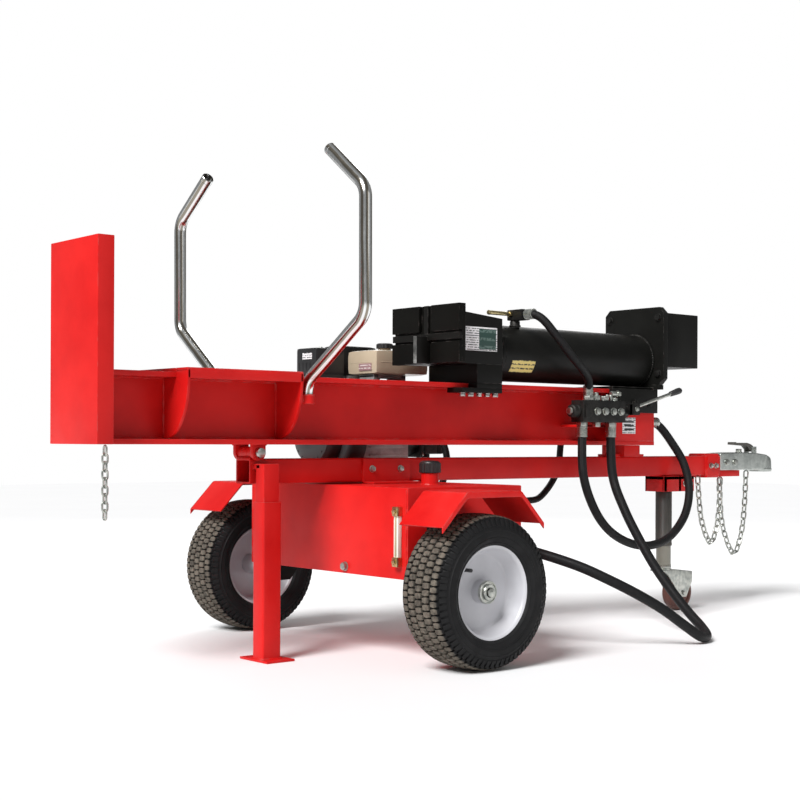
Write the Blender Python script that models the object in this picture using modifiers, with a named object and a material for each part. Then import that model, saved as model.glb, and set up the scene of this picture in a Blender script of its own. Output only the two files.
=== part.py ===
"""Towable hydraulic log splitter with a tilting beam.

Metres, +Z up. X runs along the beam from the foot plate (-X) to the tow coupler (+X),
Y runs across, and the ground is Z = 0. Places below are measured from the wheel axle,
and AXLE_X moves the whole machine so that its bounding box is centred on X = 0.
"""
import math

import bmesh
import bpy
from mathutils import Matrix, Vector

# ---------------------------------------------------------------- driving dimensions
AXLE_X = -0.5505         # the axle's X in the part's frame
GAP = 0.0003             # clearance left between neighbouring solids

TYRE_RADIUS = 0.203
TYRE_WIDTH = 0.162
TRACK = 1.038
RIM_RADIUS = 0.117
AXLE_Z = TYRE_RADIUS

BEAM_BOTTOM = 0.5815
BEAM_TOP = 0.768
BEAM_HALF = 0.070
FLANGE = 0.014
WEB = 0.010
BEAM_FRONT = -0.8417
BEAM_REAR = 1.250

FOOT_THICKNESS = 0.045
FOOT_HALF = 0.1245
FOOT_TOP = 1.0925

TABLE_FRONT, TABLE_REAR = -0.633, -0.270
TABLE_HALF = 0.125
TABLE_PLATE = 0.010

PIVOT_X, PIVOT_Z = -0.360, 0.559
PIN_RADIUS = 0.008

TONGUE_BOTTOM, TONGUE_TOP, TONGUE_HALF = 0.475, 0.543, 0.034
TONGUE_FRONT, TONGUE_REAR = -0.380, 1.660

TANK = (-0.120, 0.300, -0.385, 0.340, 0.226, 0.470)

HEAD_FRONT = 0.272
HEAD_HALF = 0.153
HEAD_BOTTOM, HEAD_TOP = 0.825, 0.999
SLIDE_HALF = 0.110
SLIDE_REAR = 0.490

CYLINDER_Z = 0.869
BARREL_RADIUS, BORE_RADIUS, ROD_RADIUS = 0.088, 0.0765, 0.030
BARREL_FRONT, BARREL_REAR = 0.530, 1.2247

LEG_X, LEG_Y = -0.346, -0.0665
JACK_X = 1.387

# each catch arm: its X, then its corners as (distance from the middle, height)
NEAR_ARM = (-0.240, [(0.100, 0.700), (0.100, 0.752), (0.353, 0.922), (0.351, 1.253), (0.197, 1.374)])
FAR_ARM = (-0.364, [(0.152, 0.700), (0.152, 0.760), (0.353, 0.913), (0.356, 1.224), (0.206, 1.336)])

CRANK_Y, CRANK_Z = 0.300, 0.600

# ---------------------------------------------------------------- scene and materials
for old in list(bpy.data.objects):
    bpy.data.objects.remove(old, do_unlink=True)
parts = bpy.data.collections.new("log_splitter")
bpy.context.scene.collection.children.link(parts)


def material(name, colour, roughness, metallic=0.0):
    made = bpy.data.materials.new(name)
    made.use_nodes = True
    shader = made.node_tree.nodes["Principled BSDF"]
    shader.inputs["Base Color"].default_value = (*colour, 1.0)
    shader.inputs["Roughness"].default_value = roughness
    shader.inputs["Metallic"].default_value = metallic
    return made


RED = material("red_paint", (0.60, 0.018, 0.020), 0.35)
BLACK = material("black_paint", (0.020, 0.020, 0.022), 0.38)
DARK = material("dark_grey_paint", (0.060, 0.058, 0.055), 0.45)
CHROME = material("chrome", (0.72, 0.74, 0.74), 0.12, 1.0)
ZINC = material("zinc_plate", (0.46, 0.50, 0.48), 0.35, 0.9)
STEEL = material("bright_steel", (0.56, 0.56, 0.55), 0.30, 1.0)
WHITE = material("white_rim_paint", (0.72, 0.72, 0.75), 0.35)
TYRE = material("tyre_rubber", (0.025, 0.024, 0.023), 0.85)
HOSE = material("hose_rubber", (0.018, 0.018, 0.019), 0.60)
CREAM = material("cream_paint", (0.80, 0.74, 0.58), 0.35)
CAST = material("cast_aluminium", (0.50, 0.50, 0.50), 0.50, 0.8)
PLASTIC = material("black_plastic", (0.022, 0.022, 0.024), 0.50)
BROWN = material("wheel_polyurethane", (0.20, 0.055, 0.040), 0.50)


# ---------------------------------------------------------------- shape helpers
def new_object(mesh, name="piece"):
    made = bpy.data.objects.new(name, mesh)
    parts.objects.link(made)
    return made


def from_bmesh(shape):
    mesh = bpy.data.meshes.new("mesh")
    shape.to_mesh(mesh)
    shape.free()
    return new_object(mesh)


def box(x0, x1, y0, y1, z0, z1):
    shape = bmesh.new()
    bmesh.ops.create_cube(shape, size=1.0)
    bmesh.ops.scale(shape, vec=(x1 - x0, y1 - y0, z1 - z0), verts=shape.verts)
    middle = ((x0 + x1) / 2, (y0 + y1) / 2, (z0 + z1) / 2)
    bmesh.ops.translate(shape, vec=middle, verts=shape.verts)
    return from_bmesh(shape)


def aim(start, end):
    """The matrix that lays a piece made along Z between two points."""
    line = end - start
    turn = Vector((0, 0, 1)).rotation_difference(line.normalized())
    return Matrix.Translation((start + end) / 2) @ turn.to_matrix().to_4x4()


def rod(start, end, radius, sides=20, end_radius=None):
    start, end = Vector(start), Vector(end)
    shape = bmesh.new()
    top = radius if end_radius is None else end_radius
    bmesh.ops.create_cone(shape, cap_ends=True, segments=sides, radius1=radius, radius2=top,
                          depth=(end - start).length)
    bmesh.ops.transform(shape, matrix=aim(start, end), verts=shape.verts)
    return from_bmesh(shape)


def evaluated(source, weld=True):
    """Replaces an object that has modifiers, or a curve, with its plain mesh."""
    bpy.context.view_layer.update()
    graph = bpy.context.evaluated_depsgraph_get()
    mesh = bpy.data.meshes.new_from_object(source.evaluated_get(graph))
    mesh.transform(source.matrix_world)
    shape = bmesh.new()
    shape.from_mesh(mesh)
    if weld:
        bmesh.ops.remove_doubles(shape, verts=shape.verts, dist=0.00002)
        bmesh.ops.recalc_face_normals(shape, faces=shape.faces)
    bpy.data.objects.remove(source, do_unlink=True)
    return from_bmesh(shape)


def turned(profile, start, direction, sides=40):
    """A closed profile of (radius, along) pairs, turned about a line through start."""
    mesh = bpy.data.meshes.new("profile")
    count = len(profile)
    rim = [(index, (index + 1) % count) for index in range(count)]
    mesh.from_pydata([(radius, 0, along) for radius, along in profile], rim, [])
    turning = new_object(mesh)
    screw = turning.modifiers.new("turn", "SCREW")
    screw.axis = "Z"
    screw.steps = sides
    screw.render_steps = sides
    screw.use_merge_vertices = True
    screw.merge_threshold = 0.00002
    start = Vector(start)
    turning.matrix_world = (Matrix.Translation(start)
                            @ Vector((0, 0, 1)).rotation_difference(Vector(direction)).to_matrix().to_4x4())
    return evaluated(turning)


def outline(points, thickness, place):
    """A flat outline in its own XY plane, thickened both ways and placed by a matrix."""
    curve = bpy.data.curves.new("outline", "CURVE")
    curve.dimensions = "2D"
    curve.fill_mode = "BOTH"
    curve.extrude = thickness / 2
    spline = curve.splines.new("POLY")
    spline.points.add(len(points) - 1)
    for point, (along, across) in zip(spline.points, points):
        point.co = (along, across, 0, 1)
    spline.use_cyclic_u = True
    made = bpy.data.objects.new("outline", curve)
    parts.objects.link(made)
    made.matrix_world = place
    return evaluated(made)


def side_plate(points, y0, y1):
    """An (x, z) outline made into a plate between two values of Y."""
    place = Matrix.Translation((0, (y0 + y1) / 2, 0)) @ Matrix.Rotation(math.pi / 2, 4, "X")
    return outline(points, abs(y1 - y0), place)


def cross_plate(points, x0, x1):
    """A (y, z) outline made into a plate between two values of X."""
    turn = Matrix(((0, 0, 1, 0), (1, 0, 0, 0), (0, 1, 0, 0), (0, 0, 0, 1)))
    return outline(points, abs(x1 - x0), Matrix.Translation(((x0 + x1) / 2, 0, 0)) @ turn)


def pipe(points, radius, resolution=2):
    """A round bar along a list of points, with flat closed ends."""
    curve = bpy.data.curves.new("pipe", "CURVE")
    curve.dimensions = "3D"
    curve.bevel_depth = radius
    curve.bevel_resolution = resolution
    curve.use_fill_caps = True
    spline = curve.splines.new("POLY")
    spline.points.add(len(points) - 1)
    for point, place in zip(spline.points, points):
        point.co = (*place, 1)
    made = bpy.data.objects.new("pipe", curve)
    parts.objects.link(made)
    return evaluated(made)


def rounded(corners, radius, steps=4):
    """The corners of a path with each inner corner replaced by a short arc."""
    corners = [Vector(corner) for corner in corners]
    path = [corners[0]]
    for before, corner, after in zip(corners, corners[1:], corners[2:]):
        back, ahead = (before - corner).normalized(), (after - corner).normalized()
        half = back.angle(ahead) / 2
        reach = radius / math.tan(half)
        start, end = corner + back * reach, corner + ahead * reach
        centre = corner + (back + ahead).normalized() * (radius / math.sin(half))
        for step in range(steps + 1):
            spoke = (start - centre).slerp(end - centre, step / steps)
            path.append(centre + spoke.normalized() * radius)
    path.append(corners[-1])
    return path


def smooth_route(points, spacing):
    """A smooth curve through hand-placed points, read off at an even spacing.

    Its first and last stretches stay straight, so the ends meet their fittings squarely.
    """
    points = [Vector(point) for point in points]
    fine = []
    for a, b, c, d in zip(points, points[1:], points[2:], points[3:]):
        for step in range(24):
            t = step / 24
            fine.append(0.5 * (2 * b + (c - a) * t + (2 * a - 5 * b + 4 * c - d) * t ** 2
                               + (3 * b - 3 * c + d - a) * t ** 3))
    fine.append(points[-2])
    length = sum((q - p).length for p, q in zip(fine, fine[1:]))
    count = max(3, round(length / spacing))
    route, walked, target = [points[0], fine[0]], 0.0, length / count
    for p, q in zip(fine, fine[1:]):
        stretch = (q - p).length
        while walked + stretch >= target * (len(route) - 1) and len(route) <= count:
            route.append(p.lerp(q, (target * (len(route) - 1) - walked) / stretch))
        walked += stretch
    route.extend((points[-2], points[-1]))
    return route


def combine(base, tools, operation):
    for tool in tools:
        step = base.modifiers.new("combine", "BOOLEAN")
        step.operation = operation
        step.object = tool
        base = evaluated(base, weld=False)
        bpy.data.objects.remove(tool, do_unlink=True)
    return base


def join(base, *tools):
    return combine(base, tools, "UNION")


def cut(base, *tools):
    return combine(base, tools, "DIFFERENCE")


def finish(piece, name, look, origin=(0, 0, 0)):
    """Names a piece, gives it its material and puts its origin on its joint."""
    piece.name = name
    piece.data.name = name
    piece.data.transform(Matrix.Translation(-Vector(origin)))
    piece.location = Vector(origin) + Vector((AXLE_X, 0, 0))
    piece.data.materials.clear()
    piece.data.materials.append(look)
    piece.data.shade_smooth()
    piece.data.set_sharp_from_angle(angle=math.radians(32))
    return piece


def hollow_box(x0, x1, y0, y1, z0, z1, wall, open_ends="X"):
    """A square tube, open at both ends along X or Z."""
    shell = box(x0, x1, y0, y1, z0, z1)
    reach = 0.01
    if open_ends == "X":
        return cut(shell, box(x0 - reach, x1 + reach, y0 + wall, y1 - wall, z0 + wall, z1 - wall))
    return cut(shell, box(x0 + wall, x1 - wall, y0 + wall, y1 - wall, z0 - reach, z1 + reach))


# ---------------------------------------------------------------- chassis
def make_tongue():
    tube = hollow_box(TONGUE_FRONT, TONGUE_REAR, -TONGUE_HALF, TONGUE_HALF, TONGUE_BOTTOM, TONGUE_TOP, 0.005)
    post = box(LEG_X - 0.025, LEG_X + 0.025, LEG_Y - 0.020, LEG_Y + 0.020, 0.300, 0.530)
    shoulder = box(LEG_X - 0.025, LEG_X + 0.025, LEG_Y, -0.033, 0.516, 0.530)
    boss = rod((PIVOT_X, -0.030, PIVOT_Z), (PIVOT_X, 0.030, PIVOT_Z), 0.017)
    collar = hollow_box(1.577, 1.640, -0.043, 0.043, 0.466, 0.552, 0.012)
    rest = join(box(1.120, 1.200, -0.050, 0.050, TONGUE_TOP - 0.001, BEAM_BOTTOM - GAP),
                box(1.080, 1.240, -0.033, 0.033, TONGUE_TOP - 0.001, TONGUE_TOP + 0.008))
    hanger = join(box(0.005, 0.180, -0.0425, -TONGUE_HALF + 0.001, TANK[5] + GAP, 0.5415),
                  box(0.005, 0.180, -0.090, -TONGUE_HALF + 0.001, TANK[5] + GAP, TONGUE_BOTTOM + 0.001))
    bolts = [rod((x, -0.050, 0.512), (x, -0.040, 0.512), 0.009, 6) for x in (0.036, 0.142)]
    channel = box(1.630, 1.780, -0.030, 0.030, 0.4685, 0.4908)
    tongue = join(tube, post, shoulder, boss, collar, channel, rest, hanger, *bolts)
    bore = rod((PIVOT_X, -0.05, PIVOT_Z), (PIVOT_X, 0.05, PIVOT_Z), PIN_RADIUS + GAP, 16)
    finish(cut(tongue, bore), "tongue_rail", RED)


def make_leg():
    tube = hollow_box(LEG_X - 0.030, LEG_X + 0.030, LEG_Y - 0.025, LEG_Y + 0.025, 0.004, 0.427, 0.0045, "Z")
    foot = box(LEG_X - 0.036, LEG_X + 0.054, LEG_Y - 0.054, LEG_Y + 0.075, 0.0, 0.006)
    x, face, height = LEG_X + 0.011, LEG_Y + 0.025, 0.350
    nut = box(x - 0.012, x + 0.012, face - 0.0005, face + 0.016, height - 0.012, height + 0.012)
    leg = cut(join(tube, foot, nut), rod((x, face - 0.010, height), (x, face + 0.03, height), 0.0053, 12))
    finish(leg, "stand_leg", RED, (LEG_X, LEG_Y, 0))
    stem = rod((x, face - 0.0045, height), (x, face + 0.036, height), 0.005, 12)
    bar = rod((x, face + 0.030, height - 0.022), (x, face + 0.030, height + 0.022), 0.004, 10)
    finish(join(stem, bar), "leg_clamp_screw", ZINC, (x, LEG_Y, height))


def make_tank():
    x0, x1, y0, y1, z0, z1 = TANK
    wall = 0.004
    neck_x, neck_y = 0.115, -0.205
    shell = box(x0, x1, y0, y1, z0, z1)
    neck = rod((neck_x, neck_y, z1 - 0.002), (neck_x, neck_y, 0.503), 0.025, 28)
    inside = box(x0 + wall, x1 - wall, y0 + wall, y1 - wall, z0 + wall, z1 - wall)
    mouth = rod((neck_x, neck_y, z1 - 0.03), (neck_x, neck_y, 0.520), 0.021, 28)
    ports = [rod((x1 - 0.002, 0.100, 0.270), (x1 + 0.020, 0.100, 0.270), 0.018, 18),
             rod((x1 - 0.002, 0.250, 0.300), (x1 + 0.020, 0.250, 0.300), 0.021, 18)]
    finish(cut(join(shell, neck, *ports), inside, mouth), "oil_tank", RED)
    cap = join(rod((neck_x, neck_y, 0.5033), (neck_x, neck_y, 0.538), 0.031, 32),
               rod((neck_x, neck_y, 0.490), (neck_x, neck_y, 0.510), 0.0205, 28))
    finish(cap, "tank_filler_cap", PLASTIC, (neck_x, neck_y, 0.503))
    gauge_y = -0.352
    gauge = join(box(x0 - 0.018, x0 - GAP, gauge_y - 0.011, gauge_y + 0.011, 0.260, 0.420),
                 rod((x0 - 0.026, gauge_y, 0.273), (x0 - 0.016, gauge_y, 0.273), 0.007, 14),
                 rod((x0 - 0.026, gauge_y, 0.407), (x0 - 0.016, gauge_y, 0.407), 0.007, 14))
    finish(gauge, "level_gauge", WHITE)


def make_fender(side, name):
    sheet = 0.004
    bend, low = (0.095, 0.464), (0.180, 0.378)
    slope = Vector((low[0] - bend[0], low[1] - bend[1])).normalized()
    inset = Vector((slope.y, -slope.x)) * sheet
    inner = (bend[0] - 0.0016, bend[1] - sheet)
    half = [bend, low, (low[0] + inset.x, low[1] + inset.y), inner]
    profile = half + [(-x, z) for x, z in reversed(half)]
    shell = side_plate(profile, *sorted((side * 0.420, side * 0.588)))
    half = [(0.0945, 0.463), (0.1795, 0.377), (0.1795, 0.362), (0.0945, 0.448)]
    lip = side_plate(half[:3] + [half[3]] + [(-x, z) for x, z in reversed(half)], *sorted((side * 0.586, side * 0.590)))
    wall = tank_wall(side)
    strut = box(-0.045, 0.045, *sorted((side * (wall + GAP), side * 0.430)), 0.4602, 0.4637)
    web = box(-0.045, 0.045, *sorted((side * (wall + GAP), side * (wall + 0.0043))), 0.400, 0.4620)
    finish(join(shell, lip, strut, web), name, RED)


def tank_wall(side):
    """How far the tank reaches to that side; the near end is longer."""
    return TANK[3] if side > 0 else -TANK[2]


def make_axle(side, name):
    wall = tank_wall(side)
    inner = side * (wall + GAP)
    plate = side_plate([(-0.055, 0.395), (-0.055, 0.200), (-0.025, 0.165), (0.025, 0.165), (0.055, 0.200),
                        (0.055, 0.395)], inner, side * (wall + 0.010))
    collar = rod((0, side * (wall + 0.009), AXLE_Z), (0, side * 0.430, AXLE_Z), 0.022, 24)
    spindle = rod((0, side * 0.425, AXLE_Z), (0, side * 0.572, AXLE_Z), 0.0125, 20)
    finish(join(plate, collar, spindle), name, BLACK)


def make_wheel(side, prefix):
    """Rim, tyre and hub cap, turned about the axle; along is measured outward."""
    centre = (0, side * TRACK / 2, AXLE_Z)
    outward = (0, side, 0)
    half = 0.066
    rim = [(RIM_RADIUS + 0.006, half), (RIM_RADIUS - 0.002, half - 0.008), (RIM_RADIUS - 0.010, 0.020),
           (RIM_RADIUS - 0.010, -0.020), (RIM_RADIUS - 0.002, -half + 0.008), (RIM_RADIUS + 0.006, -half),
           (RIM_RADIUS - 0.004, -half + 0.002), (RIM_RADIUS - 0.014, -0.018), (RIM_RADIUS - 0.014, 0.002),
           (0.060, 0.006), (0.030, 0.006), (0.030, -0.060), (0.0128, -0.060), (0.0128, 0.040), (0.030, 0.040),
           (0.030, 0.013), (0.062, 0.013), (RIM_RADIUS - 0.014, 0.009), (RIM_RADIUS - 0.014, 0.022),
           (RIM_RADIUS - 0.004, half - 0.002)]
    bead, wide = RIM_RADIUS + 0.0005, TYRE_WIDTH / 2
    tyre = [(bead + 0.007, 0.0665), (0.150, wide), (0.184, wide - 0.003), (0.199, wide - 0.020),
            (TYRE_RADIUS, 0.030), (TYRE_RADIUS, -0.030), (0.199, 0.020 - wide), (0.184, 0.003 - wide),
            (0.150, -wide), (bead + 0.007, -0.0665), (bead + 0.0005, -0.0560), (0.140, -0.066),
            (0.180, -0.060), (0.180, 0.060), (0.140, 0.066), (bead + 0.0005, 0.0560)]
    finish(turned(tyre, centre, outward, 36), prefix + "_tyre", TYRE, centre)
    y = side * (TRACK / 2 + 0.038)
    cap = cut(join(rod((0, y, AXLE_Z), (0, y + side * 0.010, AXLE_Z), 0.028, 28),
                   rod((0, y, AXLE_Z), (0, y + side * 0.022, AXLE_Z), 0.022, 28)),
              rod((0, y - side * 0.01, AXLE_Z), (0, y + side * 0.016, AXLE_Z), 0.0135, 16))
    finish(join(turned(rim, centre, outward, 32), cap), prefix + "_rim", WHITE, centre)


def make_coupler():
    ball = (1.944, 0, 0.500)
    body = side_plate([(1.6603, 0.4912), (1.6603, 0.552), (1.800, 0.556), (1.880, 0.553), (1.944, 0.546),
                       (1.944, 0.4912)], -0.037, 0.037)
    nose = rod((1.944, 0, 0.484), (1.944, 0, 0.548), 0.044, 32)
    body = join(body, nose)
    shape = bmesh.new()
    bmesh.ops.create_uvsphere(shape, u_segments=24, v_segments=12, radius=0.026)
    bmesh.ops.translate(shape, vec=ball, verts=shape.verts)
    socket = from_bmesh(shape)
    mouth = rod((1.944, 0, 0.460), (1.944, 0, 0.500), 0.026, 24)
    hollow = box(1.640, 1.760, -0.031, 0.031, 0.4985, 0.5405)
    pivot = (1.885, 0, 0.566)
    ears = [side_plate([(1.873, 0.540), (1.873, 0.577), (1.897, 0.577), (1.897, 0.540)], y, y + 0.006)
            for y in (-0.020, 0.014)]
    hinge = rod((pivot[0], -0.05, pivot[2]), (pivot[0], 0.05, pivot[2]), 0.0063, 12)
    finish(cut(join(body, *ears), socket, mouth, hollow, hinge), "coupler", ZINC)
    handle = join(side_plate([(1.765, 0.584), (1.765, 0.591), (1.850, 0.591), (1.892, 0.576), (1.892, 0.558),
                              (1.872, 0.5605), (1.845, 0.580)], -0.013, 0.013),
                  rod((pivot[0], -0.024, pivot[2]), (pivot[0], 0.024, pivot[2]), 0.006, 12))
    finish(handle, "coupler_latch", DARK, pivot)


def make_chain(points, name, radius=0.008):
    finish(pipe(smooth_route(points, 0.030), radius), name, ZINC)


def make_jack():
    x = JACK_X
    bracket = cut(box(x - 0.050, x + 0.115, -0.042, 0.042, 0.420, TONGUE_BOTTOM - GAP),
                  box(x + 0.045, x + 0.125, -0.034, 0.034, 0.410, 0.460),
                  rod((x, 0, 0.400), (x, 0, 0.480), 0.0293, 28))
    finish(bracket, "jack_bracket", RED)
    up = (0, 0, 1)
    sleeve = turned([(0.029, 0.242), (0.029, 0.0), (0.0262, 0.0), (0.0262, 0.242)], (x, 0, 0.230), up, 28)
    finish(sleeve, "jack_sleeve", DARK)
    tube = turned([(0.0258, 0.220), (0.0258, 0.0), (0.0215, 0.0), (0.0215, 0.220)], (x, 0, 0.1603), up, 28)
    finish(tube, "jack_tube", ZINC, (x, 0, 0.16))
    wheel_x, wheel_z = x + 0.074, 0.0625
    yoke = side_plate([(x - 0.036, 0.146), (x + 0.040, 0.146), (wheel_x + 0.048, 0.136),
                       (wheel_x + 0.048, 0.102), (wheel_x + 0.016, 0.047), (wheel_x - 0.016, 0.047),
                       (x - 0.006, 0.126)], -0.030, 0.030)
    yoke = cut(yoke, box(x - 0.05, wheel_x + 0.09, -0.0245, 0.0245, 0.020, 0.1355))
    race = rod((x, 0, 0.140), (x, 0, 0.1600), 0.0275, 24)
    bolt = rod((wheel_x, -0.037, wheel_z), (wheel_x, 0.037, wheel_z), 0.006, 14)
    finish(join(yoke, race, bolt), "caster_fork", ZINC, (x, 0, 0.16))
    wheel = turned([(0.0063, 0.022), (0.045, 0.022), (0.057, 0.020), (0.0625, 0.012), (0.0625, -0.012),
                    (0.057, -0.020), (0.045, -0.022), (0.0063, -0.022)][::-1],
                   (wheel_x, 0, wheel_z), (0, 1, 0), 32)
    finish(wheel, "caster_wheel", BROWN, (wheel_x, 0, wheel_z))


# ---------------------------------------------------------------- engine and pump
def make_engine():
    base = TANK[5]
    finish(box(0.100, 0.450, 0.170, 0.430, base + GAP, base + 0.0083), "engine_plate", BLACK)
    floor = base + 0.0086
    crankcase = join(box(0.1903, 0.390, 0.210, 0.400, floor + 0.008, 0.690),
                     box(0.1903, 0.400, 0.190, 0.415, floor, floor + 0.012),
                     rod((0.380, CRANK_Y, CRANK_Z), (0.405, CRANK_Y, CRANK_Z), 0.060, 28))
    stand = [box(0.250, 0.270, 0.215, 0.286, 0.688, 0.8000), box(0.360, 0.380, 0.215, 0.286, 0.688, 0.8000),
             box(0.250, 0.380, 0.215, 0.286, 0.7900, 0.8000)]
    finish(join(crankcase, *stand), "crankcase", CAST)
    top = side_plate([(0.235, 0.6903), (0.235, 0.780), (0.375, 0.780), (0.375, 0.6903)], 0.300, 0.395)
    fins = [box(0.223, 0.387, 0.290, 0.408, z, z + 0.006) for z in (0.702, 0.720, 0.738, 0.756)]
    rocker = box(0.250, 0.340, 0.345, 0.387, 0.779, 0.800)
    finish(join(top, rocker, *fins), "cylinder_head", CAST)
    fan = turned([(0.122, 0.070), (0.132, 0.058), (0.132, 0.0), (0.0, 0.0), (0.0, 0.012), (0.050, 0.012),
                  (0.050, 0.070)][::-1], (0.1897, CRANK_Y, CRANK_Z + 0.010), (-1, 0, 0), 36)
    fan = cut(fan, box(0.05, 0.25, 0.1, 0.5, 0.40, floor + 0.0003))
    starter = turned([(0.045, 0.062), (0.088, 0.052), (0.098, 0.035), (0.098, 0.0), (0.0, 0.0),
                      (0.0, 0.062)][::-1], (0.1220, CRANK_Y, CRANK_Z + 0.010), (-1, 0, 0), 32)
    starter = cut(starter, rod((0.05, CRANK_Y, CRANK_Z + 0.010), (0.14, CRANK_Y, CRANK_Z + 0.010), 0.018, 20))
    finish(join(fan, starter), "recoil_housing", PLASTIC)
    grip_x, grip_z = 0.105, 0.723
    grip = join(rod((grip_x, CRANK_Y - 0.030, grip_z), (grip_x, CRANK_Y + 0.030, grip_z), 0.009, 14),
                rod((grip_x, CRANK_Y, 0.7084), (grip_x, CRANK_Y, grip_z), 0.005, 10))
    finish(grip, "recoil_grip", PLASTIC, (grip_x, CRANK_Y, grip_z))
    fuel = box(0.240, 0.455, 0.190, 0.338, 0.8003, 0.876)
    soft = fuel.modifiers.new("soft", "BEVEL")
    soft.width = 0.018
    soft.segments = 3
    tank = join(evaluated(fuel), rod((0.330, 0.260, 0.870), (0.330, 0.260, 0.884), 0.020, 24))
    finish(tank, "fuel_tank", CREAM)
    cap = rod((0.330, 0.260, 0.8843), (0.330, 0.260, 0.902), 0.027, 28)
    finish(cap, "fuel_cap", PLASTIC, (0.330, 0.260, 0.884))
    cleaner = box(0.120, 0.2345, 0.342, 0.445, 0.780, 0.884)
    edge = cleaner.modifiers.new("edge", "BEVEL")
    edge.width = 0.010
    edge.segments = 2
    cleaner = join(evaluated(cleaner), rod((0.205, 0.380, 0.6903), (0.205, 0.380, 0.790), 0.0155, 18))
    finish(cleaner, "air_cleaner", PLASTIC)
    muffler = box(0.260, 0.420, 0.4085, 0.490, 0.740, 0.900)
    bend = muffler.modifiers.new("bend", "BEVEL")
    bend.width = 0.016
    bend.segments = 2
    muffler = join(evaluated(muffler), rod((0.415, 0.450, 0.770), (0.450, 0.450, 0.770), 0.014, 16))
    finish(muffler, "muffler", BLACK)
    throttle = join(rod((0.300, 0.2095, 0.660), (0.300, 0.198, 0.660), 0.010, 14),
                    box(0.2965, 0.3035, 0.1985, 0.2020, 0.655, 0.715),
                    box(0.293, 0.307, 0.190, 0.2020, 0.705, 0.725))
    finish(throttle, "throttle_lever", PLASTIC, (0.300, 0.204, 0.660))


def make_pump():
    bell = join(rod((0.4053, CRANK_Y, CRANK_Z), (0.475, CRANK_Y, CRANK_Z), 0.062, 28),
                box(0.475 - 0.008, 0.475, CRANK_Y - 0.060, CRANK_Y + 0.060, CRANK_Z - 0.060, CRANK_Z + 0.060))
    body = join(box(0.4740, 0.580, CRANK_Y - 0.042, CRANK_Y + 0.042, CRANK_Z - 0.050, CRANK_Z + 0.050),
                rod((0.528, CRANK_Y, CRANK_Z - 0.075), (0.528, CRANK_Y, CRANK_Z - 0.045), 0.022, 20),
                rod((0.528, CRANK_Y - 0.066, CRANK_Z), (0.528, CRANK_Y - 0.040, CRANK_Z), 0.015, 18))
    finish(join(bell, body), "gear_pump", BLACK)


# ---------------------------------------------------------------- beam
def make_beam():
    flange_low = box(BEAM_FRONT, BEAM_REAR, -BEAM_HALF, BEAM_HALF, BEAM_BOTTOM, BEAM_BOTTOM + FLANGE)
    flange_top = box(BEAM_FRONT, BEAM_REAR, -BEAM_HALF, BEAM_HALF, BEAM_TOP - FLANGE, BEAM_TOP)
    web = box(BEAM_FRONT, BEAM_REAR, -WEB / 2, WEB / 2, BEAM_BOTTOM + 0.005, BEAM_TOP - 0.005)
    steps = 6
    toe = [(PIVOT_X + 0.022 * math.cos(angle), PIVOT_Z + 0.022 * math.sin(angle))
           for angle in [math.pi + math.pi * step / steps for step in range(steps + 1)]]
    ear = toe + [(PIVOT_X + 0.022, BEAM_BOTTOM + 0.002), (PIVOT_X - 0.022, BEAM_BOTTOM + 0.002)]
    ears = [side_plate(ear, side * 0.0346, side * 0.0466) for side in (-1, 1)]
    cover, low, high = 0.008, BEAM_BOTTOM + 0.005, BEAM_TOP - 0.005
    side_cover = box(1.030, BEAM_REAR, -BEAM_HALF, cover - BEAM_HALF, low, high)
    end_cover = box(BEAM_REAR - cover, BEAM_REAR, -BEAM_HALF, BEAM_HALF, low, high)
    valve_bracket = join(box(0.860, 0.990, -0.106, -0.004, 0.640, 0.648),
                         box(0.860, 0.990, -0.106, -0.098, 0.640, 0.735))
    bulkhead = rod((1.000, 0.004, 0.665), (1.000, 0.045, 0.665), 0.016, 18)
    beam = join(flange_low, web, flange_top, side_cover, end_cover, valve_bracket, bulkhead, *ears)
    bore = rod((PIVOT_X, -0.08, PIVOT_Z), (PIVOT_X, 0.08, PIVOT_Z), PIN_RADIUS + GAP, 16)
    finish(cut(beam, bore), "splitting_beam", RED, (PIVOT_X, 0, PIVOT_Z))
    pin = join(rod((PIVOT_X, -0.0560, PIVOT_Z), (PIVOT_X, 0.0560, PIVOT_Z), PIN_RADIUS, 16),
               rod((PIVOT_X, -0.0600, PIVOT_Z), (PIVOT_X, -0.0475, PIVOT_Z), 0.014, 20))
    finish(pin, "pivot_pin", ZINC, (PIVOT_X, 0, PIVOT_Z))


def make_foot():
    back = BEAM_FRONT - GAP
    plate = box(back - FOOT_THICKNESS, back, -FOOT_HALF, FOOT_HALF, BEAM_BOTTOM, FOOT_TOP)
    finish(plate, "foot_plate", RED)
    hook = (-0.862, -0.118)
    make_chain([(*hook, BEAM_BOTTOM - GAP), (*hook, 0.500), (*hook, 0.395)], "foot_chain", 0.006)


def socket(side, x, corners):
    """A short open tube, with a lug that reaches the table, for the foot of an arm."""
    y, z = side * corners[0][0], corners[0][1]
    if abs(y) > TABLE_HALF:
        reach = sorted((side * 0.121, side * (abs(y) - 0.0185)))
        lug = box(x - 0.006, x + 0.006, *reach, z - 0.006, z + 0.070)
    else:
        lug = box(x - 0.0325, x - 0.012, y - 0.010, y + 0.010, z - 0.006, z + 0.014)
    tube = rod((x, y, z - 0.008), (x, y, z + 0.016), 0.0215, 24)
    return cut(join(tube, lug), rod((x, y, z - GAP), (x, y, z + 0.070), 0.017 + GAP, 24))


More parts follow.
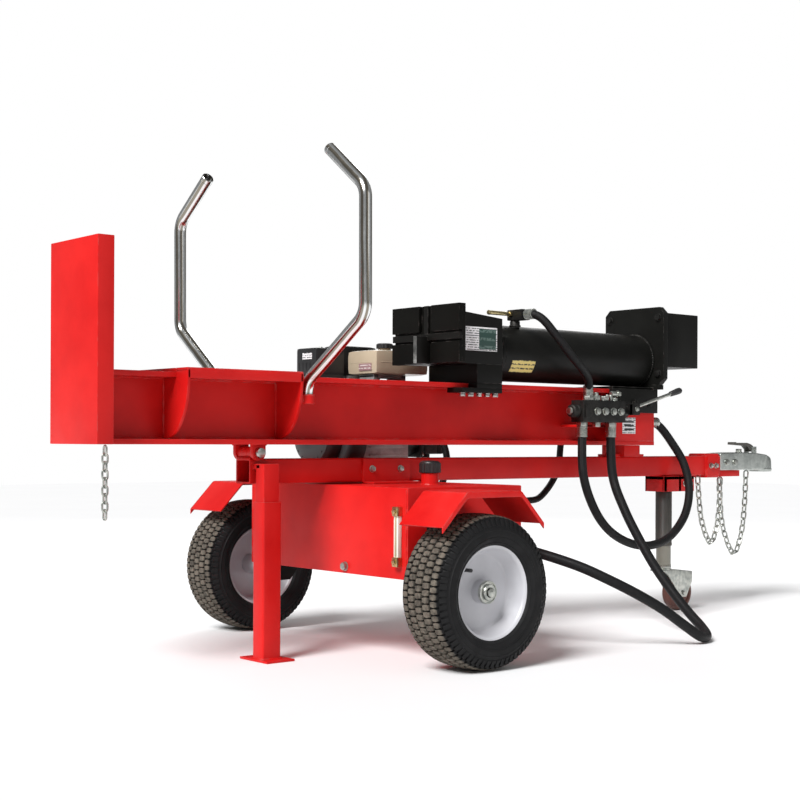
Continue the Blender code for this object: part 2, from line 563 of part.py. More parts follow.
def make_table():
    top = BEAM_TOP + GAP
    lip_bottom = 0.750
    plate = box(TABLE_FRONT, TABLE_REAR, -TABLE_HALF, TABLE_HALF, top, top + TABLE_PLATE)
    lips = [box(TABLE_FRONT, TABLE_REAR, *sorted((side * TABLE_HALF, side * (TABLE_HALF - 0.008))),
                lip_bottom, top + 0.005) for side in (-1, 1)]
    inner, edge, low = WEB / 2 + GAP, BEAM_HALF + GAP, BEAM_BOTTOM + FLANGE + GAP
    under = BEAM_TOP - FLANGE - GAP
    steps = 6
    sweep = []
    for step in range(steps + 1):
        turn = math.pi / 2 * step / steps
        sweep.append((TABLE_HALF - 0.112 * (1 - math.cos(turn)),
                      lip_bottom - (lip_bottom - low) * math.sin(turn)))
    rib = ([(edge, top + 0.005), (TABLE_HALF, top + 0.005)] + sweep
           + [(inner, low), (inner, under), (edge, under)])
    ribs = []
    for x in (TABLE_FRONT, TABLE_REAR - 0.008):
        for side in (-1, 1):
            ribs.append(cross_plate([(side * y, z) for y, z in rib], x, x + 0.008))
    sockets = [socket(-1, *NEAR_ARM), socket(1, *FAR_ARM)]
    finish(join(plate, *lips, *ribs, *sockets), "log_table", RED)


def make_arm(side, x, corners, name):
    """A bent catch arm whose foot stands in a socket on the table."""
    path = rounded([(x, side * y, z) for y, z in corners], 0.060)
    finish(pipe(path, 0.017, 4), name + "_arm", CHROME)


def make_cylinder():
    axis = (1, 0, 0)
    barrel = turned([(BARREL_RADIUS, BARREL_REAR - BARREL_FRONT), (BARREL_RADIUS, 0),
                     (BORE_RADIUS, 0), (BORE_RADIUS, BARREL_REAR - BARREL_FRONT)],
                    (BARREL_FRONT, 0, CYLINDER_Z), axis, 44)
    finish(barrel, "cylinder_barrel", BLACK)
    gland = turned([(BARREL_RADIUS, 0.0320), (BARREL_RADIUS + 0.004, 0.028), (BARREL_RADIUS + 0.004, 0.0),
                    (ROD_RADIUS + GAP, 0.0), (ROD_RADIUS + GAP, 0.0320)],
                   (BARREL_FRONT - 0.0323, 0, CYLINDER_Z), axis, 44)
    finish(gland, "cylinder_gland", BLACK)
    flange = cross_plate([(-0.130, 0.806), (-0.130, 1.029), (-0.110, 1.049), (0.110, 1.049), (0.130, 1.029),
                          (0.130, 0.806), (0.110, 0.7863), (-0.110, 0.7863)], 1.225, 1.247)
    block = box(1.240, 1.458, -0.090, 0.090, 0.849, 1.034)
    finish(join(flange, block), "cylinder_base", BLACK)
    saddle = join(box(1.020, 1.250, -0.085, 0.085, BEAM_TOP + GAP, 0.7765),
                  box(1.2253, 1.250, -0.110, 0.110, 0.7700, 0.7860),
                  box(1.020, 1.250, -0.085, -BEAM_HALF - GAP, 0.690, 0.7765),
                  box(1.020, 1.250, BEAM_HALF + GAP, 0.085, 0.690, 0.7765))
    finish(saddle, "cylinder_saddle", BLACK)
    port_x, port_y = 0.622, -0.030
    seat = rod((0.5, 0, CYLINDER_Z), (0.75, 0, CYLINDER_Z), BARREL_RADIUS + GAP, 44)
    elbow = join(cut(rod((port_x, port_y, 0.940), (port_x, port_y, 0.990), 0.016, 18), seat),
                 box(port_x - 0.018, port_x + 0.018, port_y - 0.050, port_y + 0.018, 0.972, 1.006))
    stem = rod((0.505, port_y, 0.992), (port_x - 0.010, port_y, 0.992), 0.007, 14)
    finish(join(elbow, stem), "cylinder_port_elbow", BLACK)


def make_valve():
    body = join(box(0.798, 1.000, -0.160, -0.106 - GAP, 0.655, 0.725),
                rod((0.768, -0.133, 0.690), (0.803, -0.133, 0.690), 0.020, 20),
                rod((0.995, -0.133, 0.690), (1.032, -0.133, 0.690), 0.018, 20),
                box(1.030, 1.066, -0.165, -0.1495, 0.680, 0.718),
                box(1.030, 1.066, -0.1165, -0.108, 0.680, 0.718),
                box(1.030, 1.036, -0.165, -0.108, 0.680, 0.718))
    bore = rod((0.755, -0.133, 0.690), (1.045, -0.133, 0.690), 0.0083, 14)
    finish(cut(body, bore), "control_valve", BLACK)
    spool = rod((0.777, -0.133, 0.690), (1.030, -0.133, 0.690), 0.0080, 14)
    finish(spool, "valve_spool", STEEL, (0.900, -0.133, 0.690))
    pivot = (1.052, -0.133, 0.700)
    lever = join(rod((pivot[0], -0.148, pivot[2]), (pivot[0], -0.118, pivot[2]), 0.011, 16),
                 rod((pivot[0], -0.133, pivot[2]), (1.262, -0.148, 0.760), 0.006, 14),
                 rod((1.240, -0.1464, 0.7537), (1.292, -0.1501, 0.7686), 0.011, 16))
    finish(lever, "control_lever", BLACK, pivot)


# ---------------------------------------------------------------- ram
def make_ram():
    upper = side_plate([(0.2983, HEAD_BOTTOM), (0.2983, 0.983), (SLIDE_REAR, 0.966), (SLIDE_REAR, HEAD_BOTTOM)],
                       -SLIDE_HALF, SLIDE_HALF)
    lower = box(0.385, SLIDE_REAR, -SLIDE_HALF, SLIDE_HALF, BEAM_TOP + GAP, HEAD_BOTTOM + 0.002)
    finish(join(upper, lower), "ram_slide", BLACK)
    for side, name in ((-1, "near"), (1, "far")):
        width = sorted((side * (BEAM_HALF + 0.001), side * SLIDE_HALF))
        spacer = box(0.385, SLIDE_REAR, *width, 0.738, BEAM_TOP)
        plate = box(0.327, SLIDE_REAR, *sorted((side * 0.040, side * SLIDE_HALF)), 0.7385, 0.7532)
        bolts = [rod((x, side * 0.092, 0.729), (x, side * 0.092, 0.742), 0.0085, 6)
                 for x in [0.341 + 0.0340 * index for index in range(5)]]
        finish(join(spacer, plate, *bolts), name + "_keeper", BLACK)
    plate = box(0.284, 0.298, -HEAD_HALF, HEAD_HALF, HEAD_BOTTOM, HEAD_TOP)
    inner = 0.027
    pads = [box(HEAD_FRONT, 0.285, y0, y1, z0, z1) for y0, y1 in ((-HEAD_HALF, -inner), (inner, HEAD_HALF))
            for z0, z1 in ((HEAD_BOTTOM, 0.888), (0.920, HEAD_TOP))]
    finish(join(plate, *pads), "ram_head", BLACK)
    lower_blade = cross_plate([(-0.010, HEAD_BOTTOM), (-0.010, 0.906), (0.010, 0.906), (0.010, HEAD_BOTTOM)],
                              0.252, 0.2837)
    edge = outline([(0.2265, 0.0), (0.2521, 0.010), (0.2521, -0.010)], 0.906 - HEAD_BOTTOM,
                   Matrix.Translation((0, 0, (0.906 + HEAD_BOTTOM) / 2)))
    upper_blade = box(0.276, 0.2835, -0.0095, 0.0095, 0.900, HEAD_TOP)
    wings = box(0.274, 0.2833, -HEAD_HALF, HEAD_HALF, 0.894, 0.914)
    finish(join(lower_blade, edge, upper_blade, wings), "four_way_knife", STEEL)
    rod_piece = join(rod((SLIDE_REAR + GAP, 0, CYLINDER_Z), (1.105, 0, CYLINDER_Z), ROD_RADIUS, 28),
                     rod((1.100, 0, CYLINDER_Z), (1.170, 0, CYLINDER_Z), BORE_RADIUS - 0.0005, 32))
    finish(rod_piece, "piston_rod", CHROME)


# ---------------------------------------------------------------- hoses
def make_hose(points, radius, name, spacing=0.055):
    finish(pipe(smooth_route(points, spacing), radius), name, HOSE)


def make_hoses():
    make_hose([(0.622, -0.0803, 0.989), (0.622, -0.108, 0.989), (0.636, -0.140, 0.970), (0.672, -0.165, 0.918),
               (0.728, -0.172, 0.862), (0.790, -0.162, 0.822), (0.836, -0.146, 0.790), (0.850, -0.133, 0.755),
               (0.850, -0.133, 0.7255)], 0.0130, "front_hose", 0.030)
    make_hose([(0.822, -0.133, 0.6545), (0.822, -0.133, 0.620), (0.826, -0.135, 0.490), (0.868, -0.140, 0.385),
               (0.935, -0.147, 0.308), (1.030, -0.156, 0.262), (1.136, -0.160, 0.252), (1.245, -0.150, 0.280),
               (1.350, -0.124, 0.346), (1.404, -0.098, 0.432), (1.403, -0.074, 0.520), (1.360, -0.052, 0.596),
               (1.315, -0.041, 0.645), (1.275, -0.040, 0.660), (1.2505, -0.040, 0.660)], 0.0140, "loop_hose", 0.045)
    make_hose([(0.957, -0.133, 0.6545), (0.957, -0.133, 0.620), (0.966, -0.136, 0.480), (0.980, -0.175, 0.372),
               (0.973, -0.245, 0.278), (0.957, -0.325, 0.195), (0.950, -0.395, 0.130), (0.948, -0.460, 0.072),
               (0.930, -0.525, 0.034), (0.888, -0.576, 0.0175), (0.830, -0.598, 0.0225), (0.765, -0.590, 0.060),
               (0.695, -0.565, 0.110), (0.617, -0.530, 0.158), (0.543, -0.495, 0.198), (0.483, -0.450, 0.232),
               (0.437, -0.385, 0.258), (0.415, -0.300, 0.276), (0.418, -0.200, 0.284), (0.435, -0.110, 0.281),
               (0.445, -0.035, 0.276), (0.436, 0.028, 0.272), (0.405, 0.077, 0.270), (0.360, 0.100, 0.270),
               (0.3205, 0.100, 0.270)], 0.0148, "return_hose", 0.055)
    make_hose([(0.528, 0.2335, 0.600), (0.528, 0.210, 0.600), (0.506, 0.160, 0.510), (0.436, 0.165, 0.330),
               (0.392, 0.175, 0.150), (0.440, 0.182, 0.036), (0.572, 0.184, 0.0150), (0.698, 0.180, 0.040),
               (0.758, 0.170, 0.155), (0.778, 0.160, 0.295), (0.826, 0.150, 0.385), (0.912, 0.140, 0.405),
               (0.990, 0.136, 0.490), (1.000, 0.124, 0.600), (1.000, 0.075, 0.665), (1.000, 0.0455, 0.665)],
              0.0110, "pressure_hose", 0.045)
    make_hose([(0.528, 0.300, 0.5245), (0.528, 0.300, 0.490), (0.515, 0.285, 0.400), (0.450, 0.262, 0.330),
               (0.360, 0.250, 0.300), (0.3205, 0.250, 0.300)], 0.0170, "suction_hose", 0.040)


make_tongue()
make_leg()
make_tank()
make_fender(-1, "near_fender")
make_fender(1, "far_fender")
make_axle(-1, "near_axle")
make_axle(1, "far_axle")
make_wheel(-1, "near")
make_wheel(1, "far")
make_coupler()
make_chain([(1.544, -0.024, 0.4740), (1.545, -0.028, 0.410), (1.556, -0.034, 0.310), (1.602, -0.037, 0.232),
            (1.648, -0.032, 0.300), (1.669, -0.026, 0.400), (1.671, -0.020, 0.4675)], "near_safety_chain")
make_chain([(1.729, 0.018, 0.4675), (1.733, 0.022, 0.400), (1.762, 0.030, 0.280), (1.832, 0.034, 0.178),
            (1.880, 0.033, 0.260), (1.894, 0.029, 0.390), (1.896, 0.026, 0.4902)], "far_safety_chain")
make_jack()
make_engine()
make_pump()
make_beam()
make_foot()
make_table()
make_arm(-1, *NEAR_ARM, "near")
make_arm(1, *FAR_ARM, "far")
make_cylinder()
make_valve()
make_ram()
make_hoses()
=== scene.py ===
"""Looks for the log splitter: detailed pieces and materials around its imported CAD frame.

+Z up, +X towards the coupler. Places are measured along x from the wheel axle, as in the CAD source,
and piece() moves each finished piece into the part's frame. Camera, lights and materials are in
metres; everything from the mesh helpers on is in millimetres.
"""
from math import ceil, cos, pi, radians, sin, sqrt, tan

import bmesh
import bpy
from mathutils import Matrix, Vector


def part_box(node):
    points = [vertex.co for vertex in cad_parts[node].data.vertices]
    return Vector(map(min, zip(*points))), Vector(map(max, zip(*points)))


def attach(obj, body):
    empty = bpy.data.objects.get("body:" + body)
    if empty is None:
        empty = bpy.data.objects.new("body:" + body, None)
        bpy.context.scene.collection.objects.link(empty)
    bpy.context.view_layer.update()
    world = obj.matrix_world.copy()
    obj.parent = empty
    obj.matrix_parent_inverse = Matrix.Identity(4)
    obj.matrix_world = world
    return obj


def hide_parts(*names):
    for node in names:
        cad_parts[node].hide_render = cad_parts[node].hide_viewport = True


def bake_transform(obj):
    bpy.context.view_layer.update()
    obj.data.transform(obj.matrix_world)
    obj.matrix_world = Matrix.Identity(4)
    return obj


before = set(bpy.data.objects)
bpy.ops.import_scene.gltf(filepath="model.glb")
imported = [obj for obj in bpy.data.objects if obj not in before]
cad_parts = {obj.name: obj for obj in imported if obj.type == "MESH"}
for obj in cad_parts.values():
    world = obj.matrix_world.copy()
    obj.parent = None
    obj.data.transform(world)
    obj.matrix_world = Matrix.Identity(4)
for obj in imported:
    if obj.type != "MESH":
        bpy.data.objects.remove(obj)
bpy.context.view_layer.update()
rim_low, rim_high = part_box("near_rim")
AXLE_X = (rim_low.x + rim_high.x) / 2


def corners(node):
    """A CAD node's box as x0, x1, y0, y1, z0, z1, measured from the axle."""
    low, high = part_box(node)
    return low.x - AXLE_X, high.x - AXLE_X, low.y, high.y, low.z, high.z


# ---------------------------------------------------------------- camera and light
camera_data = bpy.data.cameras.new("camera")
camera = bpy.data.objects.new("camera", camera_data)
bpy.context.scene.collection.objects.link(camera)
CAMERA_PLACE = (-2.5674 + AXLE_X, -3.2535, 0.5957)
CAMERA_TURN, CAMERA_ROLL = -40.142, 0.263
camera.matrix_world = (Matrix.Translation(CAMERA_PLACE) @ Matrix.Rotation(radians(CAMERA_TURN), 4, "Z")
                       @ Matrix.Rotation(radians(90), 4, "X") @ Matrix.Rotation(radians(CAMERA_ROLL), 4, "Z"))
camera_data.sensor_width = 36
camera_data.lens = 64.64
camera_data.shift_y = 0.0499
bpy.context.scene.camera = camera
bpy.context.scene.view_settings.view_transform = "Standard"


def area_light(name, place, target, size, power):
    data = bpy.data.lights.new(name, "AREA")
    data.shape = "RECTANGLE"
    data.size, data.size_y = size
    data.energy = power
    made = bpy.data.objects.new(name, data)
    bpy.context.scene.collection.objects.link(made)
    aim = Vector(target) - Vector(place)
    made.matrix_world = Matrix.Translation(place) @ aim.to_track_quat("-Z", "Y").to_matrix().to_4x4()


key_data = bpy.data.lights.new("key", "SUN")
key_data.energy = 4.3
key_data.angle = radians(24)
key = bpy.data.objects.new("key", key_data)
bpy.context.scene.collection.objects.link(key)
key.matrix_world = Vector((0.87, 0.26, -0.86)).to_track_quat("-Z", "Y").to_matrix().to_4x4()
area_light("front_fill", (0.6, -5.6, 2.6), (0, 0, 0.5), (3.0, 2.4), 20)
area_light("back_rim", (2.8, 3.6, 3.4), (0, 0, 0.6), (3.0, 2.0), 60)
world = bpy.data.worlds.new("studio")
world.use_nodes = True
sky = world.node_tree
background = sky.nodes["Background"]
background.inputs["Color"].default_value = (1.0, 1.0, 1.0, 1.0)
background.inputs["Strength"].default_value = 0.22
backdrop = sky.nodes.new("ShaderNodeBackground")
backdrop.inputs["Color"].default_value = (1.0, 1.0, 1.0, 1.0)
seen = sky.nodes.new("ShaderNodeLightPath")
choice = sky.nodes.new("ShaderNodeMixShader")
sky.links.new(seen.outputs["Is Camera Ray"], choice.inputs[0])
sky.links.new(background.outputs[0], choice.inputs[1])
sky.links.new(backdrop.outputs[0], choice.inputs[2])
sky.links.new(choice.outputs[0], sky.nodes["World Output"].inputs["Surface"])
bpy.context.scene.world = world


# ---------------------------------------------------------------- materials
class Look:
    """A short way to write a procedural material."""

    def __init__(self, name):
        self.material = bpy.data.materials.new(name)
        self.material.use_nodes = True
        self.tree = self.material.node_tree
        self.shader = self.tree.nodes["Principled BSDF"]
        where = self.add("TexCoord")
        self.place, self.normal = where["Object"], where["Normal"]

    def put(self, socket, value):
        if isinstance(value, bpy.types.NodeSocket):
            self.tree.links.new(value, socket)
        elif isinstance(value, (tuple, list)) and len(value) == 3 and socket.type == "RGBA":
            socket.default_value = (*value, 1.0)
        else:
            socket.default_value = value

    def add(self, kind, inputs=(), **settings):
        made = self.tree.nodes.new("ShaderNode" + kind)
        for key, value in settings.items():
            setattr(made, key, value)
        for socket, value in dict(inputs).items():
            self.put(made.inputs[socket], value)
        return made.outputs

    def maths(self, kind, a, b=0.0):
        return self.add("Math", {0: a, 1: b}, operation=kind)[0]

    def range(self, value, low, high, to_low=0.0, to_high=1.0):
        given = dict(enumerate((value, low, high, to_low, to_high)))
        return self.add("MapRange", given, interpolation_type="SMOOTHSTEP")[0]

    def mix(self, share, a, b):
        return self.add("Mix", {"Factor": share, "A": a, "B": b}, data_type="RGBA")["Result"]

    def stretched(self, scale):
        return self.add("Mapping", {"Vector": self.place, "Scale": scale})["Vector"]

    def noise(self, scale, detail=4.0, source=None, rough=0.55):
        return self.add("TexNoise", {"Vector": source or self.place, "Scale": scale, "Detail": detail,
                                     "Roughness": rough})["Fac"]

    def patches(self, scale, detail=4.0, low=0.0, high=1.0, **more):
        """Soft patches between two values."""
        return self.range(self.noise(scale, detail, **more), 0.3, 0.7, low, high)

    def axis(self, source, name):
        return self.add("SeparateXYZ", {0: source})[name]

    def bump(self, height, distance, strength=1.0, under=None):
        given = {"Distance": distance, "Strength": strength, "Height": height}
        if under is not None:
            given["Normal"] = under
        return self.add("Bump", given)["Normal"]

    def edges(self, width):
        """1 along sharp outside edges, 0 on open faces."""
        bevel = self.add("Bevel", {"Radius": width}, samples=4)["Normal"]
        flat = self.add("NewGeometry")["Normal"]
        turned = self.add("VectorMath", {0: bevel, 1: flat}, operation="DOT_PRODUCT")
        return self.range(turned["Value"], 0.99, 0.90)

    def settled(self, colour, low, high, scale, start, end, dust):
        """How much dust lies on the faces that look up, and the colour under it."""
        up = self.range(self.axis(self.normal, "Z"), low, high)
        share = self.maths("MULTIPLY", up, self.range(self.noise(*scale), start, end, 0.0, dust))
        return share, self.mix(share, colour, DUST)

    def end(self, colour, roughness, normal=None, metallic=0.0, **sockets):
        given = {"Base Color": colour, "Roughness": roughness, "Metallic": metallic}
        given.update({key.replace("_", " "): value for key, value in sockets.items()})
        if normal is not None:
            given["Normal"] = normal
        for key, value in given.items():
            self.put(self.shader.inputs[key], value)
        return self.material


DUST = (0.42, 0.37, 0.31)


def painted(name, deep, bright, roughness, worn=0.0, dust=0.10, peel=0.00012, coat=0.3, gloss=0.5):
    """Sprayed paint: soft mottling, orange peel, settled dust and thin edges."""
    look = Look(name)
    patch = look.patches(3.5, 6)
    colour = look.mix(patch, deep, bright)
    dull = look.patches(9.0, 5, roughness - 0.05, roughness + 0.07)
    settled, colour = look.settled(colour, 0.55, 0.95, (14.0, 7, None, 0.7), 0.35, 0.75, dust)
    dull = look.maths("ADD", dull, look.maths("MULTIPLY", settled, 0.5))
    if worn:
        chips = look.range(look.noise(38.0, 6), 0.46, 0.62, 0.0, worn)
        bare = look.maths("MULTIPLY", look.edges(0.0022), chips)
        colour = look.mix(bare, colour, (0.33, 0.30, 0.28))
    normal = look.bump(look.noise(420.0, 2), peel, 0.5)
    normal = look.bump(look.noise(16.0, 2), 0.0012, 0.25, normal)
    return look.end(colour, dull, normal, Coat_Weight=coat, Coat_Roughness=0.18, Specular_IOR_Level=gloss)


def metal(name, deep, bright, roughness, grain=240.0, depth=0.00006, mottle=26.0, metallic=1.0, streak=None):
    """Bare or plated metal, blotched by handling, with fine grain that may run one way."""
    look = Look(name)
    patch = look.patches(mottle, 6, rough=0.65)
    colour = look.mix(patch, deep, bright)
    smudge = look.noise(11.0, 6, rough=0.7)
    gloss = look.range(smudge, 0.3, 0.75, roughness * 0.75, roughness * 1.35)
    source = look.stretched(streak) if streak else None
    normal = look.bump(look.noise(grain, 3, source), depth, 0.7)
    return look.end(colour, gloss, normal, metallic)


def reflection_painted_tube(name):
    """Chrome with painted reflections: long light and dark streaks in its colour, set by the way the surface
    faces, as a tube shows among large shapes.
    """
    look = Look(name)
    # Painted reflection: the colour runs from dark brown-grey (painted dark reflection) to near white (painted
    # highlight) with the way the surface faces.
    across = look.maths("SUBTRACT", look.maths("MULTIPLY", look.axis(look.normal, "X"), 0.76),
                        look.maths("MULTIPLY", look.axis(look.normal, "Y"), 0.65))
    reflection_drift = look.maths("MULTIPLY", look.noise(5.0, 3), 0.5)
    wave = look.maths("SINE", look.maths("MULTIPLY", look.maths("ADD", across, reflection_drift), 8.0))
    colour = look.mix(look.range(wave, -0.5, 0.6), (0.30, 0.27, 0.22), (0.88, 0.90, 0.90))
    gloss = look.range(look.noise(11.0, 6, rough=0.7), 0.3, 0.75, 0.16, 0.26)
    return look.end(colour, gloss, look.bump(look.noise(90.0, 3), 0.00003, 0.7), 1.0)


def moulded(name, deep, bright, roughness, grain=700.0, depth=0.00010, dust=0.12):
    """Moulded plastic: a fine even texture with dust in it."""
    look = Look(name)
    colour = look.mix(look.patches(6.0, 5), deep, bright)
    _, colour = look.settled(colour, 0.3, 0.9, (22.0, 7), 0.4, 0.8, dust)
    gloss = look.patches(12.0, 4, roughness - 0.06, roughness + 0.08)
    cells = look.add("TexVoronoi", {"Vector": look.place, "Scale": grain})
    return look.end(colour, gloss, look.bump(cells["Distance"], depth, 0.5))


def tyre_rubber():
    """Black side walls; the tread is greyer and tan where its blocks have met the ground."""
    look = Look("tyre_rubber")
    x, z = look.axis(look.place, "X"), look.axis(look.place, "Z")
    across = look.maths("SUBTRACT", x, AXLE_X)
    up = look.maths("SUBTRACT", z, TYRE_Z)
    squares = look.maths("ADD", look.maths("MULTIPLY", across, across), look.maths("MULTIPLY", up, up))
    radius = look.maths("SQRT", squares)
    tread = look.range(radius, TYRE_RADIUS - 0.0085, TYRE_RADIUS - 0.0048)
    film = look.range(look.noise(55.0, 7, rough=0.7), 0.30, 0.62, 0.25, 1.0)
    colour = look.mix(look.patches(9.0, 5), (0.006, 0.006, 0.0065), (0.012, 0.012, 0.0125))
    worn = look.mix(look.noise(24.0, 4), (0.10, 0.086, 0.068), (0.19, 0.165, 0.135))
    colour = look.mix(look.maths("MULTIPLY", tread, film), colour, worn)
    gloss = look.patches(30.0, 5, 0.52, 0.70)
    normal = look.bump(look.noise(620.0, 3), 0.00015, 0.6)
    gloss = look.maths("ADD", gloss, look.maths("MULTIPLY", tread, 0.2))
    return look.end(colour, gloss, normal, Specular_IOR_Level=0.2)


def hose_rubber():
    """A textile-braided cover: two crossing sets of fine ridges laid out along the hose."""
    look = Look("hose_rubber")
    mesh_place = look.add("UVMap")["UV"]
    along, around = look.axis(mesh_place, "X"), look.axis(mesh_place, "Y")
    ridges = []
    for way in (1.0, -1.0):
        phase = look.maths("ADD", look.maths("MULTIPLY", along, 1500.0),
                           look.maths("MULTIPLY", around, 2 * pi * 9 * way))
        ridges.append(look.maths("SINE", phase))
    weave = look.maths("MAXIMUM", *ridges)
    colour = look.mix(look.range(weave, 0.2, 1.0), (0.003, 0.003, 0.0035), (0.010, 0.010, 0.0105))
    film = look.range(look.noise(30.0, 6, rough=0.7), 0.5, 0.8, 0.0, 0.16)
    colour = look.mix(film, colour, (0.06, 0.055, 0.05))
    gloss = look.patches(18.0, 5, 0.42, 0.58)
    return look.end(colour, gloss, look.bump(weave, 0.0004, 0.8), Specular_IOR_Level=0.22)


def cast(name, deep, bright, roughness):
    """Sand-cast or bead-blasted metal with a pebbled skin."""
    look = Look(name)
    colour = look.mix(look.patches(18.0, 7, rough=0.7), deep, bright)
    gloss = look.patches(25.0, 5, roughness - 0.08, roughness + 0.1)
    return look.end(colour, gloss, look.bump(look.noise(330.0, 5, rough=0.7), 0.0004, 0.6), 0.85)


def printed(name, paper, ink, bars, roughness=0.4):
    """A plain sticker: a ground colour with a few unlettered bars of ink across it."""
    look = Look(name)
    where = look.axis(look.place, "Z")
    wave = look.maths("SINE", look.maths("MULTIPLY", where, bars))
    broken = look.range(look.noise(160.0, 1), 0.42, 0.46)
    marks = look.maths("MULTIPLY", look.range(wave, 0.35, 0.45), broken)
    colour = look.mix(marks, paper, ink)
    return look.end(colour, look.patches(20.0, 4.0, roughness, roughness + 0.15),
                    look.bump(look.noise(90.0, 3), 0.0002, 0.3))


TYRE_Z0, TYRE_Z1 = corners("near_tyre")[4:]
TYRE_RADIUS = (TYRE_Z1 - TYRE_Z0) / 2
TYRE_Z = (TYRE_Z1 + TYRE_Z0) / 2

RED = painted("red_paint", (0.52, 0.006, 0.006), (0.68, 0.014, 0.012), 0.38, worn=0.30, dust=0.03, coat=0.05,
    gloss=0.20)
BLACK = painted("black_paint", (0.0035, 0.0035, 0.003), (0.008, 0.008, 0.007), 0.42, worn=0.25, dust=0.03,
    coat=0.0, gloss=0.17)
DARK = painted("dark_paint", (0.050, 0.047, 0.042), (0.085, 0.080, 0.070), 0.45, worn=0.3, dust=0.10, coat=0.1)
WHITE = painted("white_rim_paint", (0.50, 0.50, 0.53), (0.62, 0.62, 0.65), 0.34, dust=0.18, coat=0.2)
CREAM = painted("cream_paint", (0.42, 0.34, 0.24), (0.52, 0.43, 0.31), 0.32, dust=0.12)
# The chrome's colour holds painted reflections and highlights, streaked by the way each surface faces.
CHROME = reflection_painted_tube("chrome")
ZINC = metal("zinc_plate", (0.33, 0.35, 0.33), (0.60, 0.61, 0.56), 0.34, grain=300.0, mottle=60.0)
STEEL = metal("bright_steel", (0.42, 0.42, 0.41), (0.66, 0.66, 0.64), 0.26, streak=(40.0, 6.0, 220.0),
    grain=6.0)
BRASS = metal("yellow_zinc", (0.45, 0.36, 0.17), (0.70, 0.60, 0.33), 0.32, grain=300.0)
CAST = cast("cast_aluminium", (0.30, 0.30, 0.30), (0.52, 0.52, 0.51), 0.48)
IRON = cast("cast_iron", (0.018, 0.018, 0.018), (0.045, 0.043, 0.040), 0.50)
PLASTIC = moulded("black_plastic", (0.013, 0.013, 0.014), (0.027, 0.027, 0.028), 0.42)
CASTER = moulded("caster_plastic", (0.085, 0.030, 0.022), (0.17, 0.060, 0.042), 0.50)
CLEAR = moulded("gauge_window", (0.62, 0.60, 0.52), (0.82, 0.80, 0.72), 0.15, dust=0.05)
RUBBER = tyre_rubber()
HOSE = hose_rubber()
LABEL = printed("plain_white_label", (0.80, 0.79, 0.80), (0.05, 0.06, 0.06), 900.0)
YELLOW = printed("plain_yellow_label", (0.80, 0.66, 0.22), (0.03, 0.03, 0.02), 500.0)
GREEN = printed("dark_green_label", (0.020, 0.055, 0.045), (0.10, 0.16, 0.14), 260.0)

HEAD = painted("worn_black_pads", (0.002, 0.002, 0.0018), (0.005, 0.005, 0.004), 0.50, worn=0.30, dust=0.03,
    coat=0.0, gloss=0.10)
KNIFE = metal("ground_knife_steel", (0.10, 0.10, 0.098), (0.46, 0.46, 0.44), 0.34, streak=(30.0, 30.0, 3.0),
    grain=8.0)
COUPLER = metal("dull_coupler_zinc", (0.40, 0.43, 0.41), (0.58, 0.61, 0.58), 0.42, grain=260.0, mottle=45.0)
JACK = painted("jack_inner_paint", (0.16, 0.155, 0.125), (0.25, 0.24, 0.20), 0.40, worn=0.3, dust=0.12)
GAUGE_OIL = moulded("gauge_tube", (0.30, 0.24, 0.14), (0.46, 0.38, 0.24), 0.2, dust=0.05)
PINK = printed("plain_pink_label", (0.30, 0.17, 0.18), (0.62, 0.55, 0.52), 700.0)


# ---------------------------------------------------------------- mesh helpers
# From here on, places and sizes are in millimetres. Each shape is added to one working mesh in
# metres, which piece() takes away.
MM = 0.001
X, Y, Z = Vector((1, 0, 0)), Vector((0, 1, 0)), Vector((0, 0, 1))
AXLE_Z = 203
PIVOT_X, PIVOT_Z = -360, 559
CYLINDER_Z = 869
VALVE_Y, VALVE_Z = -133, 690
bench = bmesh.new()


def merge(shape, matrix=None, soft=0, segments=2, outward=True):
    """Scales a shape to metres, rounds its sharp edges, and adds it to the working mesh."""
    bmesh.ops.scale(shape, vec=(MM, MM, MM), verts=shape.verts)
    if outward:
        bmesh.ops.recalc_face_normals(shape, faces=shape.faces)
    if soft:
        sharp = [e for e in shape.edges if len(e.link_faces) == 2 and e.calc_face_angle(0) > radians(35)]
        bmesh.ops.bevel(shape, geom=sharp, offset=soft * MM, segments=segments, profile=0.7, affect="EDGES",
                        clamp_overlap=True)
    if matrix is not None:
        matrix.translation *= MM
        bmesh.ops.transform(shape, matrix=matrix, verts=shape.verts)
    holder = bpy.data.meshes.new("joined")
    shape.to_mesh(holder)
    shape.free()
    bench.from_mesh(holder)
    bpy.data.meshes.remove(holder)


def box(x0, x1, y0, y1, z0, z1, soft=1.5, matrix=None):
    """A block with softened edges. Its two y sides may come in either order."""
    y0, y1 = sorted((y0, y1))
    shape = bmesh.new()
    bmesh.ops.create_cube(shape, size=1)
    for v in shape.verts:
        v.co = ((x0, x1)[v.co.x > 0], (y0, y1)[v.co.y > 0], (z0, z1)[v.co.z > 0])
    merge(shape, matrix, min(soft, 0.45 * min(x1 - x0, y1 - y0, z1 - z0)))


def plate(outline, axis, low, high, soft=0, segments=2):
    """A flat outline pushed out along an axis. Its pairs are the other two coordinates in order."""
    low, high = sorted((low, high))
    shape = bmesh.new()
    spots = [{"x": (low, a, b), "y": (a, low, b), "z": (a, b, low)}[axis] for a, b in outline]
    face = shape.faces.new([shape.verts.new(s) for s in spots])
    out = bmesh.ops.extrude_face_region(shape, geom=[face])
    step = {"x": X, "y": Y, "z": Z}[axis] * (high - low)
    for v in out["geom"]:
        if isinstance(v, bmesh.types.BMVert):
            v.co += step
    merge(shape, None, soft, segments)


def turn_basis(place, way):
    """A frame at a place whose z axis points along way."""
    return Matrix.Translation(place) @ Vector(way).to_track_quat("Z", "X").to_matrix().to_4x4()


def circle(radius, count, first=0.0):
    """Pairs of coordinates around a circle, from an angle on."""
    angles = [2 * pi * i / count + first for i in range(count)]
    return [(radius * cos(a), radius * sin(a)) for a in angles]


